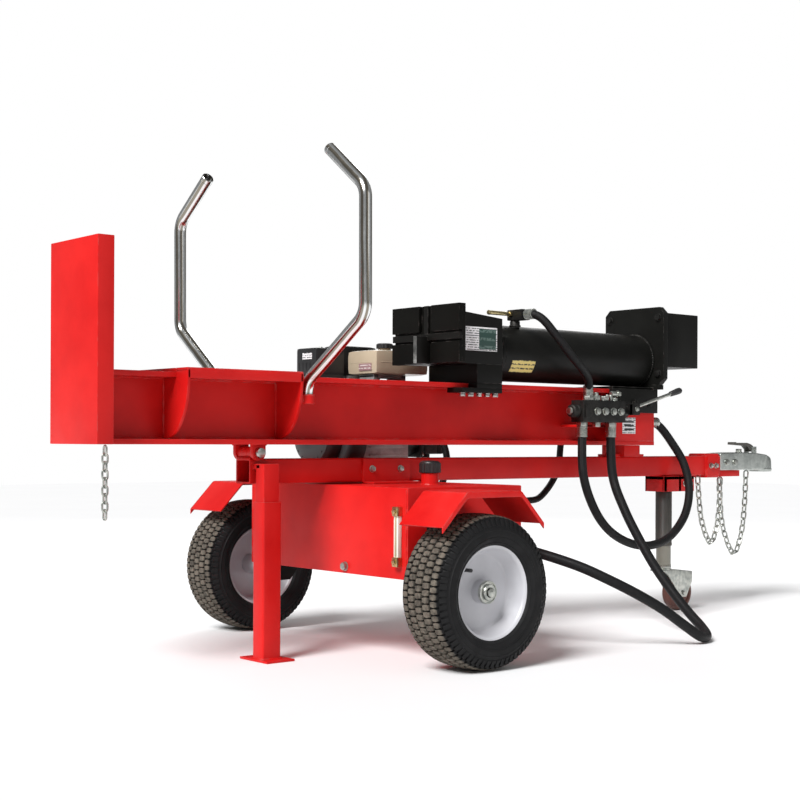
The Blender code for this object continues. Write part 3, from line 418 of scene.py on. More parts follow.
def grooved(x, y, radius, count, group, proud):
    """A knob's outline: of each group of its points, the first few stand 1.8 mm proud."""
    rims = circle(radius, count), circle(radius - 1.8, count)
    return [(x + rims[k % group >= proud][k][0], y + rims[k % group >= proud][k][1]) for k in range(count)]


def skin(shape, one, two):
    """Faces between two closed loops of vertices."""
    for i in range(len(one)):
        j = (i + 1) % len(one)
        shape.faces.new((one[i], one[j], two[j], two[i]))


def lathe(place, way, profile, around=32):
    """A profile of (distance along, radius) turned about way, from a place. Zero radii close it."""
    shape = bmesh.new()
    rings = [[shape.verts.new((a, b, along)) for a, b in (circle(radius, around) if radius else [(0, 0)])]
             for along, radius in profile]
    for a, b in zip(rings, rings[1:]):
        if len(a) > 1 and len(b) > 1:
            skin(shape, a, b)
        elif len(a) + len(b) > 2:
            for i in range(around):
                j = (i + 1) % around
                shape.faces.new((a[0], b[j], b[i]) if len(a) == 1 else (a[i], a[j], b[0]))
    merge(shape, turn_basis(place, way))


def rod(start, end, radius, soft=1, around=28, bore=0):
    """A round bar with softened ends, or a bush if it has a bore."""
    way = Vector(end) - Vector(start)
    length = way.length
    soft = min(soft, radius * 0.45, length * 0.45)
    if bore:
        ends = [(0, bore), (0, radius - soft), (soft, radius), (length - soft, radius), (length, radius - soft),
                (length, bore), (0, bore)]
    else:
        ends = [(0, 0), (0, radius - soft), (soft * 0.3, radius - soft * 0.3), (soft, radius),
                (length - soft, radius), (length - soft * 0.3, radius - soft * 0.3), (length, radius - soft),
                (length, 0)]
    lathe(start, way, ends, around)


def hexagon(centre, axis, across, height, washer=0, turned=0):
    """A hexagon head standing on centre along axis, on a washer if one is asked for."""
    centre, axis = Vector(centre), Vector(axis).normalized()
    if washer:
        rod(centre, centre + axis * 2.2, washer, 0.5)
        centre = centre + axis * 2.2
    shape = bmesh.new()
    spots = circle(across / sqrt(3), 6, radians(turned))
    low, high = ([shape.verts.new((a, b, z)) for a, b in spots] for z in (0, height))
    shape.faces.new(list(reversed(low)))
    shape.faces.new(high)
    skin(shape, low, high)
    merge(shape, turn_basis(centre, axis), min(1.2, height * 0.3))


def smooth_route(points, spacing):
    """A Catmull-Rom curve through the points whose first and last stretches are straight."""
    points = [Vector(p) for p in points]
    made = []
    count = len(points) - 1
    for i in range(count):
        a, b = points[i], points[i + 1]
        steps = max(2, round((b - a).length / spacing))
        if i == 0 or i == count - 1:
            made += [a.lerp(b, k / steps) for k in range(steps)]
            continue
        before, after = points[i - 1], points[i + 2]
        for k in range(steps):
            t = k / steps
            made.append(0.5 * (2 * a + (b - before) * t + (2 * before - 5 * a + 4 * b - after) * t * t
                               + (3 * a - before - 3 * b + after) * t ** 3))
    return made + [points[-1]]


def rounded(points, radius, step):
    """A line of straight runs with an arc of the given radius at each inner corner."""
    points = [Vector(p) for p in points]
    made = [points[0]]
    for before, here, after in zip(points, points[1:], points[2:]):
        back, ahead = (before - here).normalized(), (after - here).normalized()
        half = back.angle(ahead) / 2
        reach = radius / tan(half)
        a, b = here + back * reach, here + ahead * reach
        middle = here + (back + ahead).normalized() * (radius / sin(half))
        steps = max(2, ceil((pi - 2 * half) / step))
        made += [middle + (a - middle).slerp(b - middle, k / steps).normalized() * radius
                 for k in range(steps + 1)]
    return made + [points[-1]]


def sweep(line, radius, around=16, caps=True, uv=True, swell=None):
    """A tube along a line, carried without twist. swell gives each point its own radius."""
    line = [Vector(p) for p in line]
    shape = bmesh.new()
    layer = shape.loops.layers.uv.new("UVMap") if uv else None
    ways = [(line[1] - line[0]).normalized()]
    ways += [(c - a).normalized() for a, c in zip(line, line[2:])]
    ways.append((line[-1] - line[-2]).normalized())
    side = ways[0].orthogonal().normalized()
    rings, far = [], [0]
    for i, (place, way) in enumerate(zip(line, ways)):
        side = (side - way * side.dot(way)).normalized()
        other = way.cross(side)
        rings.append([shape.verts.new(place + side * a + other * b)
                      for a, b in circle(swell[i] if swell else radius, around)])
        if i:
            far.append(far[-1] + (line[i] - line[i - 1]).length * MM)
    for i, (a, b) in enumerate(zip(rings, rings[1:])):
        for k in range(around):
            j = (k + 1) % around
            face = shape.faces.new((a[k], a[j], b[j], b[k]))
            if uv:
                for loop, spot in zip(face.loops, ((far[i], k), (far[i], k + 1), (far[i + 1], k + 1),
                                                   (far[i + 1], k))):
                    loop[layer].uv = (spot[0], spot[1] / around)
    if caps:
        shape.faces.new(list(reversed(rings[0])))
        shape.faces.new(rings[-1])
    merge(shape, outward=False)


def weld(line, radius=3.5, closed=False):
    """A weld bead: a fat tube that swells and pinches along the joint."""
    line = [Vector(p) for p in line]
    if closed:
        line.append(line[0])
    dense = []
    for a, b in zip(line, line[1:]):
        steps = max(1, round((b - a).length / 2.2))
        dense += [a.lerp(b, k / steps) for k in range(steps)]
    dense.append(line[-1])
    sizes = [radius * (0.86 + 0.16 * sin(i * 1.9)) for i in range(len(dense))]
    sweep(dense, radius, around=8, swell=sizes, uv=False)


def ring(centre, axis, radius, steps=28):
    """Points of a circle."""
    basis = turn_basis(centre, axis)
    return [basis @ Vector((a, b, 0)) for a, b in circle(radius, steps)]


def seam(bead, *circle_of):
    """A weld bead round a circle."""
    weld(ring(*circle_of), bead, closed=True)


def link(centre, way, across, width, long, wire):
    """One chain link, its length along way and its width along across."""
    half, bend = long / 2 - width / 2, width / 2 - wire / 2
    line = []
    for turn in range(2):
        for k in range(9):
            a = pi * k / 8 + pi * turn
            line.append(centre + across * bend * cos(a) + way * (bend * sin(a) + (-half if turn else half)))
    line.append(line[0].copy())
    sweep(line, wire / 2, around=10, caps=False, uv=False)


def chain(line, width, long, wire):
    """Links along a line, each a quarter turn from the last."""
    line = [Vector(p) for p in line]
    lengths = [0]
    for a, b in zip(line, line[1:]):
        lengths.append(lengths[-1] + (b - a).length)
    pitch = long - 2 * wire
    count = max(1, round((lengths[-1] - 2 * wire) / pitch))
    pitch = (lengths[-1] - 2 * wire) / count

    def at(distance):
        for i in range(1, len(line)):
            if distance <= lengths[i] or i == len(line) - 1:
                t = (distance - lengths[i - 1]) / (lengths[i] - lengths[i - 1])
                return line[i - 1].lerp(line[i], min(1, max(0, t)))

    for i in range(count):
        a, b = at(wire + pitch * i), at(wire + pitch * (i + 1))
        way = (b - a).normalized()
        flat = (Y - way * Y.dot(way)).normalized()
        link((a + b) / 2, way, way.cross(flat) if i % 2 else flat, width, pitch + 2 * wire, wire)


def in_part(place):
    """A place in millimetres from the axle, as metres in the part's frame."""
    return Vector(place) * MM + Vector((AXLE_X, 0, 0))


def piece(name, material, body, *nodes, crease=34):
    """Turns the working mesh into a named piece of one material which rides on a body; given a tuple instead,
    the piece is only fixed in place in the part's frame.
    """
    global bench
    bmesh.ops.remove_doubles(bench, verts=bench.verts, dist=1e-7)
    bmesh.ops.transform(bench, matrix=Matrix.Translation((AXLE_X, 0, 0)), verts=bench.verts)
    mesh = bpy.data.meshes.new(name)
    bench.to_mesh(mesh)
    bench.free()
    bench = bmesh.new()
    mesh.materials.append(material)
    mesh.shade_smooth()
    mesh.set_sharp_from_angle(angle=radians(crease))
    made = bpy.data.objects.new(name, mesh)
    bpy.context.scene.collection.objects.link(made)
    if isinstance(body, tuple):
        in_part(body[2])
        in_part(body[3])
        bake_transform(made)
    else:
        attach(made, body)
    if nodes:
        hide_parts(*nodes)
    return made


# ---------------------------------------------------------------- hoses
RETURN_BEND = ("chassis", "beam", (142, 194, 634), (569, -175, 963))
PRESSURE_BEND = ("chassis", "beam", (-21, 93, 280), (76, -77.5, 156.5))


def ferrule(place, way, radius, nut=0):
    """A crimped collar over a hose's end, behind the hexagon of its fitting."""
    place, way = Vector(place), Vector(way).normalized()
    if nut:
        hexagon(place, way, nut, 13)
        place = place + way * 13
    rim = radius + 3.4
    profile = [(0, 0), (0, rim - 1), (1, rim)]
    for k in range(5):
        profile += [(3.5 + 5.5 * k, rim), (4.5 + 5.5 * k, rim - 1.1),
                    (6.5 + 5.5 * k, rim - 1.1), (7.5 + 5.5 * k, rim)]
    profile += [(33, rim), (34, rim - 1), (34, radius * 0.6)]
    lathe(place, way, profile, 28)


def hose(name, points, radius, body, ends):
    """A hose along route points, with a ferrule at each end: its body and the size of its nut."""
    line = smooth_route(points, 11)
    sweep(line, radius, around=20)
    made = piece("hose_" + name, HOSE, body, name + "_hose")
    path = [in_part(p) for p in line]
    for number, (rider, nut) in enumerate(ends):
        place, inner = points[-number], points[1 - 3 * number]
        ferrule(place, Vector(inner) - Vector(place), radius, nut)
        piece(f"hose_{name}_fitting_{number}", ZINC, rider, crease=25)


hose("front", [(622, -80.3, 989), (622, -108, 989), (636, -140, 970), (672, -165, 918), (728, -172, 862),
    (790, -162, 822), (836, -146, 790), (850, -133, 755), (850, -133, 725.5)], 13, "beam",
    [("beam", 0), ("beam", 30)])
hose("loop", [(822, -133, 654.5), (822, -133, 620), (826, -135, 490), (868, -140, 385), (935, -147, 308),
    (1030, -156, 262), (1136, -160, 252), (1245, -150, 280), (1350, -124, 346), (1404, -98, 432),
    (1403, -74, 520), (1360, -52, 596), (1315, -41, 645), (1275, -40, 660), (1250.5, -40, 660)], 14, "beam",
    [("beam", 32), ("beam", 32)])
hose("return", [(957, -133, 654.5), (957, -133, 620), (966, -136, 480), (980, -175, 372), (973, -245, 278),
    (957, -325, 195), (950, -395, 130), (948, -460, 72), (930, -525, 34), (888, -576, 17.5), (830, -598, 22.5),
    (765, -590, 60), (695, -565, 110), (617, -530, 158), (543, -495, 198), (483, -450, 232), (437, -385, 258),
    (415, -300, 276), (418, -200, 284), (435, -110, 281), (445, -35, 276), (436, 28, 272), (405, 77, 270),
    (360, 100, 270), (320.5, 100, 270)], 14.8, RETURN_BEND, [("beam", 34), ("chassis", 34)])
hose("pressure", [(528, 233.5, 600), (528, 210, 600), (506, 160, 510), (436, 165, 330), (392, 175, 150),
    (440, 182, 36), (572, 184, 15), (698, 180, 40), (758, 170, 155), (778, 160, 295), (826, 150, 385),
    (912, 140, 405), (990, 136, 490), (1000, 124, 600), (1000, 75, 665), (1000, 45.5, 665)], 11, PRESSURE_BEND,
    [("chassis", 26), ("beam", 26)])
hose("suction", [(528, 300, 524.5), (528, 300, 490), (515, 285, 400), (450, 262, 330), (360, 250, 300),
    (320.5, 250, 300)], 17, "chassis", [("chassis", 0), ("chassis", 0)])


# ---------------------------------------------------------------- beam
def make_beam():
    box(-841.7, 1250, -70, 70, 581.5, 595.5, 1.8)
    box(-841.7, 1250, -70, 70, 754, 768, 1.8)
    box(-841.5, 1243, -5, 5, 594, 756, 0)
    box(1242.4, 1249.6, -69.6, 69.6, 595.6, 753.9, 1.5)
    box(1030, 1242, -69.8, -62, 595.7, 753.8, 1.5)
    box(860, 990, -106, -4, 640, 648, 1.2)
    box(860, 990, -106, -98, 640, 735, 1.2)
    toe = [(PIVOT_X + 22 * cos(pi + pi * k / 14), PIVOT_Z + 22 * sin(pi + pi * k / 14)) for k in range(15)]
    for side in (-1, 1):
        plate(toe + [(-338, 582.5), (-382, 582.5)], "y", side * 34.6, side * 46.6, soft=1.4)
        weld([(-384, side * 46.8, 581.2), (-336, side * 46.8, 581.2)], 3)
    for side, end in ((-1, 1028), (1, 1238)):
        for z in (596.2, 753.2):
            weld([(-838, side * 5.2, z), (end, side * 5.2, z)], 4.2)
    weld([(1029.6, -64, 596.2), (1029.6, -64, 753.2)], 3)
    weld([(862, -5.5, 648.5), (988, -5.5, 648.5)], 3)
    weld([(-841.2, -66, 767.5), (-841.2, 66, 767.5)], 4.2)
    weld([(-841.2, -6.6, 600), (-841.2, -6.6, 750)], 4)
    for z in (596.2, 753.2):
        weld([(-841.2, -66, z), (-841.2, -8, z)], 3.6)
    piece("beam_i_section", RED, "beam", "splitting_beam")
    hexagon((1000, 5.2, 665), Y, 34, 10, washer=19)
    rod((1000, 10, 665), (1000, 45, 665), 12.5, 1.5)
    for k in range(9):
        rod((1000, 19 + 2.2 * k, 665), (1000, 20.3 + 2.2 * k, 665), 13.8, 0.5)
    piece("beam_bulkhead_fitting", ZINC, "beam")
    rod((PIVOT_X, -56, PIVOT_Z), (PIVOT_X, 56, PIVOT_Z), 8, 1.8)
    rod((PIVOT_X, -60, PIVOT_Z), (PIVOT_X, -47.5, PIVOT_Z), 14, 2.2)
    sweep(ring((PIVOT_X, 52.5, PIVOT_Z), Y, 9.5), 1.3, around=8, uv=False)
    piece("pivot_pin_detailed", ZINC, "beam", "pivot_pin")
    box(1087, 1153, -70.5, -69.8, 620, 674, 0.2)
    piece("beam_side_label", LABEL, "beam")
    for z in (634, 647, 660):
        box(1096, 1144, -70.9, -70.4, z - 2.8, z + 2.8, 0.1)
    piece("beam_side_label_bars", PLASTIC, "beam")


def make_foot():
    box(-887, -842, -124.5, 124.5, 581.5, 1092.5, 2.2)
    piece("foot_plate_detailed", RED, "beam", "foot_plate")
    chain([(-862, -118, 581), (-862, -118, 395)], 19.5, 29, 5.2)
    piece("foot_chain_links", ZINC, "beam", "foot_chain")


def make_table():
    box(-633, -270, -124.5, 124.5, 768.3, 778.3, 2.2)
    for side in (-1, 1):
        box(-632.8, -270.2, side * 117, side * 124.9, 750, 775.5, 2.2)
        turns = [pi / 2 * k / 18 for k in range(19)]
        curve = [(side * (124.9 - 112 * (1 - cos(t))), 750.2 - 154.2 * sin(t)) for t in turns]
        rib = [(side * 70.3, 773), (side * 124.9, 773)] + curve + [(side * 5.4, 596), (side * 5.4, 753.6),
            (side * 70.3, 753.6)]
        for x in (-633, -278):
            plate(rib, "x", x, x + 8, soft=1.2)
            for near in (x + 8.5, x - 0.5):
                weld([(near, side * 7.2, 608), (near, side * 7.2, 748)], 3)
        weld([(-625, side * 70.6, 767.8), (-278, side * 70.6, 767.8)], 2.4)
    for side, x, y in ((-1, -240, 100), (1, -364, 152)):
        rod((x, side * y, 692), (x, side * y, 716), 21.5, 1.5, bore=17.3)
    box(-272.5, -252, -110, -90, 694, 714, 1.5)
    box(-370, -358, 121, 133.5, 694, 770, 1.5)
    seam(2.2, (-240, -100, 716.2), Z, 19.5)
    seam(2.2, (-364, 152, 716.2), Z, 19.5)
    piece("log_table_detailed", RED, "beam", "log_table")


def make_arm(name, x, side, points):
    line = rounded([(x, side * y, z) for y, z in points], 60, radians(5))
    way = (line[-1] - line[-2]).normalized()
    sweep(line[:-1] + [line[-1] - way * 14], 17, around=28, uv=False)
    rod(line[-1] - way * 14.2, line[-1], 17, 1.2, bore=14.6)
    piece(name + "_arm_tube", CHROME, "beam", name + "_arm")
    rod(line[-1] - way * 14.2, line[-1] - way * 12.2, 14.6, 0.3)
    piece(name + "_arm_plug", PLASTIC, "beam")


def make_cylinder():
    z = CYLINDER_Z
    lathe((530, 0, z), X, [(0, 76.2), (0, 86.8), (1.2, 88), (650, 88), (693.5, 88), (694.7, 86.8),
        (694.7, 76.2), (0, 76.2)], 96)
    seam(4.2, (1220.5, 0, z), X, 88.5, 60)
    piece("cylinder_tube", BLACK, "beam", "cylinder_barrel")
    lathe((497.7, 0, z), X, [(0, 30.3), (0, 40), (3, 43), (3, 50), (0, 53), (0, 89.5), (2.5, 92), (12, 92),
        (13.5, 90.5), (16.5, 90.5), (18, 92), (28, 92), (30, 90), (32, 88), (32, 30.3), (0, 30.3)], 96)
    for k in range(4):
        a = radians(45 + 90 * k)
        rod((497.2, 67 * cos(a), z + 67 * sin(a)), (499, 67 * cos(a), z + 67 * sin(a)), 6, 0.5)
    piece("cylinder_gland_detailed", BLACK, "beam", "cylinder_gland")
    plate([(-130, 806), (-130, 1029), (-110, 1049), (110, 1049), (130, 1029), (130, 806), (110, 786.3),
        (-110, 786.3)], "x", 1225, 1247, soft=2)
    box(1246.5, 1458, -90, 90, 849, 1034, 3)
    weld([(1247.8, -90.5, 848.5), (1247.8, -90.5, 1034.5), (1247.8, 90.5, 1034.5), (1247.8, 90.5, 848.5)], 3.8,
        closed=True)
    piece("cylinder_base_detailed", BLACK, "beam", "cylinder_base")
    for y in (-108, 108):
        for height in (824, 1014):
            hexagon((1225, y, height), -X, 19, 8, washer=13)
    piece("cylinder_base_bolts", IRON, "beam")
    box(1020, 1250, -85, 85, 768.4, 776.5, 1.8)
    box(1225.3, 1249.8, -110, 110, 770, 786, 2)
    for side in (-1, 1):
        box(1020.2, 1249.8, side * 70.3, side * 85, 690, 776, 2.2)
        for x in (1055, 1130, 1205):
            hexagon((x, side * 85, 722), Y * side, 17, 7, washer=12)
    piece("cylinder_saddle_detailed", BLACK, "beam", "cylinder_saddle")
    lathe((622, -30, 940), Z, [(10, 0), (10, 15.8), (28, 15.8), (30, 14.5), (50, 14.5), (50, 0)], 32)
    box(604, 640, -80, -12, 972, 1006, 5)
    seam(2.6, (622, -30, 955.5), Z, 16.5)
    piece("port_elbow_block", IRON, "beam", "cylinder_port_elbow")
    rod((505, -30, 992), (606, -30, 992), 6.8, 1.2)
    hexagon((594, -30, 992), X, 16.5, 9.5)
    hexagon((512, -30, 992), -X, 13.5, 6)
    piece("port_elbow_stem", BRASS, "beam")
    band = [(88.7 * sin(radians(a)), z - 88.7 * cos(radians(a))) for a in range(-74, -46, 3)]
    inner = [(87.8 * y / 88.7, z + 87.8 * (h - z) / 88.7) for y, h in reversed(band)]
    plate(band + inner, "x", 560, 660)
    piece("barrel_warning_strip", YELLOW, "beam")


def make_valve():
    box(798.5, 1000, -160, -106.3, 655, 725, 4)
    lathe((768, VALVE_Y, VALVE_Z), X, [(0, 8.3), (0, 17), (3, 20), (20, 20), (21.5, 18.5), (23.5, 20), (35, 20),
        (35, 8.3), (0, 8.3)], 36)
    lathe((995, VALVE_Y, VALVE_Z), X, [(0, 8.3), (0, 18), (34, 18), (37, 16), (37, 8.3), (0, 8.3)], 36)
    for y0, y1 in ((-165, -149.5), (-116.5, -108)):
        box(1030, 1066, y0, y1, 680, 718, 3)
    box(1030, 1036, -165, -141.5, 680, 718, 1)
    box(1030, 1036, -124.5, -108, 680, 718, 1)
    box(806, 834, -164, -159.5, 668, 712, 2)
    piece("control_valve_body", IRON, "beam", "control_valve")
    for x in (862, 900, 938, 974):
        hexagon((x, -160.2, 690), -Y, 20, 7, washer=12.5, turned=12)
    hexagon((925, VALVE_Y, 725.2), Z, 24, 12, washer=14)
    hexagon((975, VALVE_Y, 725.2), Z, 18, 8, washer=11)
    hexagon((890, VALVE_Y, 654.8), -Z, 24, 12, washer=14)
    for x in (872, 978):
        hexagon((x, -97.5, 700), Y, 13, 6, washer=9)
    hexagon((1048, -165.2, 700), -Y, 12, 4, washer=8)
    hexagon((885, VALVE_Y, 725.2), Z, 26, 14, washer=15)
    rod((885, VALVE_Y, 739), (885, VALVE_Y, 751), 8.5, 2)
    for x in (940, 957):
        rod((x, VALVE_Y, 725.2), (x, VALVE_Y, 745), 6, 1)
    rod((958, VALVE_Y, 748), (985, VALVE_Y, 748), 9.5, 2)
    hexagon((985, VALVE_Y, 748), X, 21, 12)
    hexagon((767, VALVE_Y, VALVE_Z), -X, 20, 6, washer=12)
    piece("control_valve_plugs", ZINC, "beam")
    rod((777, VALVE_Y, VALVE_Z), (1030, VALVE_Y, VALVE_Z), 7.9, 1.2)
    piece("valve_spool_rod", STEEL, "valve_spool", "valve_spool")
    rod((1052, -148, 700), (1052, -118, 700), 10.8, 1.5)
    sweep([(1052, VALVE_Y, 700), (1110, -137.5, 716.6), (1262, -148, 760)], 5.8, around=16, uv=False)
    piece("control_lever_rod", ZINC, "control_lever", "control_lever")
    lathe((1240, -146.4, 753.7), (52, -3.7, 14.9), [(0, 0), (0, 7), (2, 8.8), (18, 9.8), (38, 11), (48, 10.3),
        (53, 7), (54.2, 0)], 32)
    piece("control_lever_grip", PLASTIC, "control_lever")


# ---------------------------------------------------------------- ram
def make_ram():
    plate([(298.3, 825), (298.3, 983), (490, 966), (490, 825)], "y", -110, 110, soft=2.2)
    box(385, 490, -110, 110, 768.3, 825.2, 1.8)
    for side in (-1, 1):
        weld([(299.2, side * 110.5, 828), (299.2, side * 110.5, 979)], 3.6)
    weld([(299.2, -108, 983.5), (299.2, 108, 983.5)], 3.6)
    piece("ram_slide_detailed", BLACK, "ram", "ram_slide")
    for side, name in ((-1, "near"), (1, "far")):
        box(385, 490, side * 71.2, side * 110, 753.2, 768, 1.6)
        box(327, 490, side * 40, side * 110, 738.6, 753, 1.6)
        piece(name + "_keeper_plates", BLACK, "ram", name + "_keeper")
        for k in range(5):
            hexagon((341 + 34 * k, side * 92, 738.6), -Z, 16.5, 9.2, washer=10, turned=10 + 17 * k)
        piece(name + "_keeper_bolts", STEEL, "ram")
    box(284, 298, -153, 153, 825, 999, 2.2)
    for y0, y1 in ((-153, -27), (27, 153)):
        for z0, z1 in ((825, 888), (920, 999)):
            box(272, 285, y0, y1, z0, z1, 2.4)
    piece("ram_head_pads", HEAD, "ram", "ram_head")
    plate([(236, 4.2), (252.1, 10), (283.6, 10), (283.6, -10), (252.1, -10), (236, -4.2)], "z", 825.2, 905.8,
        soft=0.8)
    box(276, 283.6, -9.5, 9.5, 900, 998.8, 1)
    box(274, 283.6, -152.8, 152.8, 894.2, 914, 1.2)
    piece("four_way_knife_detailed", BLACK, "ram", "four_way_knife")
    plate([(226.8, 0), (236.2, 4.4), (236.2, -4.4)], "z", 825, 906, soft=0.4)
    piece("four_way_knife_edge", KNIFE, "ram")
    rod((490.3, 0, CYLINDER_Z), (1105, 0, CYLINDER_Z), 29.8, 2, around=64)
    rod((1105, 0, CYLINDER_Z), (1170, 0, CYLINDER_Z), 75.5, 3, around=64)
    piece("piston_rod_polished", CHROME, "ram", "piston_rod")
    box(336, 467, -110.6, -109.8, 864.5, 936, 0.3)
    piece("slide_label_frame", LABEL, "ram")
    box(392, 462, -111.1, -110.4, 869.5, 931, 0.2)
    piece("slide_label_plate", GREEN, "ram")


make_beam()
make_foot()
make_table()
make_arm("near", -240, -1, [(100, 700), (100, 752), (353, 922), (351, 1253), (197, 1374)])
make_arm("far", -364, 1, [(152, 700), (152, 760), (353, 913), (356, 1224), (206, 1336)])
make_cylinder()
make_valve()
make_ram()


# ---------------------------------------------------------------- chassis
def square_tube(axis, a0, a1, b0, b1, c0, c1, wall, corner=6):
    """A hollow square section open at both ends: b and c are the two cross directions in order."""
    def loop(inset, radius):
        spots = []
        for bx, cx, first in ((b1, c1, 0), (b0, c1, 90), (b0, c0, 180), (b1, c0, 270)):
            sb, sc = (1 if bx == b1 else -1), (1 if cx == c1 else -1)
            mb, mc = bx - sb * (inset + radius), cx - sc * (inset + radius)
            for k in range(5):
                a = radians(first + 22.5 * k)
                spots.append((mb + radius * cos(a), mc + radius * sin(a)))
        return spots

    shape = bmesh.new()
    outer, inner = loop(0, corner), loop(wall, max(1, corner - wall * 0.6))
    rings = []
    for spots, at in ((outer, a0), (outer, a1), (inner, a1), (inner, a0)):
        if axis == "x":
            rings.append([shape.verts.new((at, b, c)) for b, c in spots])
        else:
            rings.append([shape.verts.new((b, c, at)) for b, c in spots])
    for i in range(4):
        skin(shape, rings[i], rings[(i + 1) % 4])
    merge(shape)


def make_tongue():
    square_tube("x", -380, 1660, -34, 34, 475, 543, 5)
    square_tube("x", 1577, 1640, -43, 43, 466, 552, 8.8, 8)
    box(1639.5, 1780, -30, 30, 468.6, 490.7, 2)
    box(-371, -321, -86.5, -46.5, 300, 530, 4)
    box(-371, -321, -66.5, -33, 516, 530, 2)
    for y0, y1 in ((-34.5, -12), (12, 34.5), (-12.1, 12.1)):
        rod((PIVOT_X, y0, PIVOT_Z), (PIVOT_X, y1, PIVOT_Z), 17, 1, bore=8.4)
    for x in (-376, -344):
        weld([(x, -30, 544.5), (x, 30, 544.5)], 3)
    box(1120, 1200, -50, 50, 542.5, 581, 2)
    box(1080, 1240, -33, 33, 542.5, 551, 2)
    weld([(1119, -33, 552), (1119, 33, 552)], 3)
    box(5, 180, -42.5, -33.5, 470.6, 541.5, 1.6)
    box(5, 180, -90, -33.5, 470.6, 476, 1.4)
    weld([(-371, -34, 515.5), (-321, -34, 515.5)], 3)
    weld([(1577, -34.5, 474.5), (1577, -34.5, 544), (1577, 34.5, 544), (1577, 34.5, 474.5)], 3, closed=True)
    piece("tongue_tube", RED, "chassis", "tongue_rail")
    for x in (36, 142):
        hexagon((x, -42.6, 512), -Y, 15.5, 6.2, washer=10.5)
    for side in (-1, 1):
        for x in (1594, 1623):
            hexagon((x, side * 43.2, 509), Y * side, 15, 6.5, washer=10)
    piece("tongue_bolts", ZINC, "chassis")


def make_leg():
    square_tube("z", 4, 427, -376, -316, -91.5, -41.5, 4.2)
    box(-382, -292, -120.5, 8.5, 0, 6, 1.2)
    box(-347, -323, -42, -25.5, 338, 362, 2.2)
    corner = [(-376.5, -92, 6.5), (-315.5, -92, 6.5), (-315.5, -41, 6.5), (-376.5, -41, 6.5)]
    weld(corner, 3.2, closed=True)
    seam(2.2, (-335, -40.8, 350), Y, 15)
    piece("stand_leg_tube", RED, "stand_leg", "stand_leg")
    rod((-335, -46, 350), (-335, -5.5, 350), 4.9, 1)
    for k in range(5):
        rod((-335, -24.5 + 1.8 * k, 350), (-335, -23.5 + 1.8 * k, 350), 5.3, 0.3, around=20)
    rod((-335, -11.5, 328), (-335, -11.5, 372), 3.9, 1.8)
    for z in (329.5, 370.5):
        rod((-335, -11.5, z - 1.5), (-335, -11.5, z + 1.5), 4.6, 0.8)
    piece("leg_clamp_tee", ZINC, "leg_clamp_screw", "leg_clamp_screw")


def make_tank():
    box(-120, 300, -385, 340, 226, 470, 4.5)
    rod((115, -205, 468), (115, -205, 502.8), 25, 1.2, bore=21)
    seam(3, (115, -205, 470.5), Z, 25.5)
    for y, z, r in ((100, 270, 18), (250, 300, 21)):
        rod((299, y, z), (320, y, z), r, 1.4)
        seam(2.6, (300.5, y, z), X, r + 0.5)
    for inner in (-379, 334):
        weld([(-120.3, inner, 233), (-120.3, inner, 463)], 1.8)
        weld([(300.3, inner, 233), (300.3, inner, 463)], 1.8)
    piece("oil_tank_shell", RED, "chassis", "oil_tank")
    hexagon((-120.2, -120, 246), -X, 20, 9, washer=13, turned=8)
    piece("oil_tank_drain_plug", ZINC, "chassis")
    plate(grooved(115, -205, 31, 72, 4, 2), "z", 503.5, 531, soft=1, segments=1)
    lathe((115, -205, 530.8), Z, [(0, 0), (0, 28.8), (3, 27.5), (6.2, 22), (7.2, 12), (7.2, 0)], 40)
    rod((115, -205, 490.5), (115, -205, 504.5), 20.3, 1)
    piece("tank_filler_knob", PLASTIC, "tank_filler_cap", "tank_filler_cap")
    box(-133.5, -120.6, -361, -343, 261, 419, 2.5)
    piece("level_gauge_window", CLEAR, "chassis", "level_gauge")
    for z0, z1 in ((260.5, 286), (394, 419.5)):
        box(-138, -120.3, -363, -341, z0, z1, 3)
    for z in (273.5, 406.5):
        hexagon((-138, -352, z), -X, 11.5, 6, turned=15)
    piece("level_gauge_ends", BRASS, "chassis")
    box(-135, -133.7, -355, -349, 288, 392, 0.4)
    piece("level_gauge_float_tube", GAUGE_OIL, "chassis")


def tank_wall(side):
    """How far the tank reaches to that side, in millimetres."""
    low, high = corners("oil_tank")[2:4]
    return (high if side > 0 else -low) / MM


def make_fender(side, name):
    wall = tank_wall(side)
    top = [(180, 378), (100.5, 459.3), (98, 461.5), (94.5, 463.3), (90, 464)]
    under = [(88.5, 460), (92.5, 459.3), (95.5, 457.7), (97.8, 456), (177.3, 375.5)]
    top += [(-x, z) for x, z in reversed(top)]
    plate(top + [(-x, z) for x, z in reversed(under)] + under, "y", side * 420, side * 589.5, soft=0.8)
    lip = top + [(x, z - 15.5) for x, z in reversed(top)]
    plate(lip, "y", side * 586.2, side * 590, soft=0.6)
    box(-45, 45, side * (wall + 0.3), side * 430, 460.2, 463.7, 1)
    box(-45, 45, side * (wall + 0.3), side * (wall + 4.3), 400, 462, 1)
    weld([(-45, side * 430, 460), (45, side * 430, 460)], 2)
    piece(name + "_sheet", RED, "chassis", name)
    for x in (-28, 28):
        hexagon((x, side * (wall + 4.4), 430), Y * side, 13, 5, washer=9.5)
    piece(name + "_bolts", ZINC, "chassis")


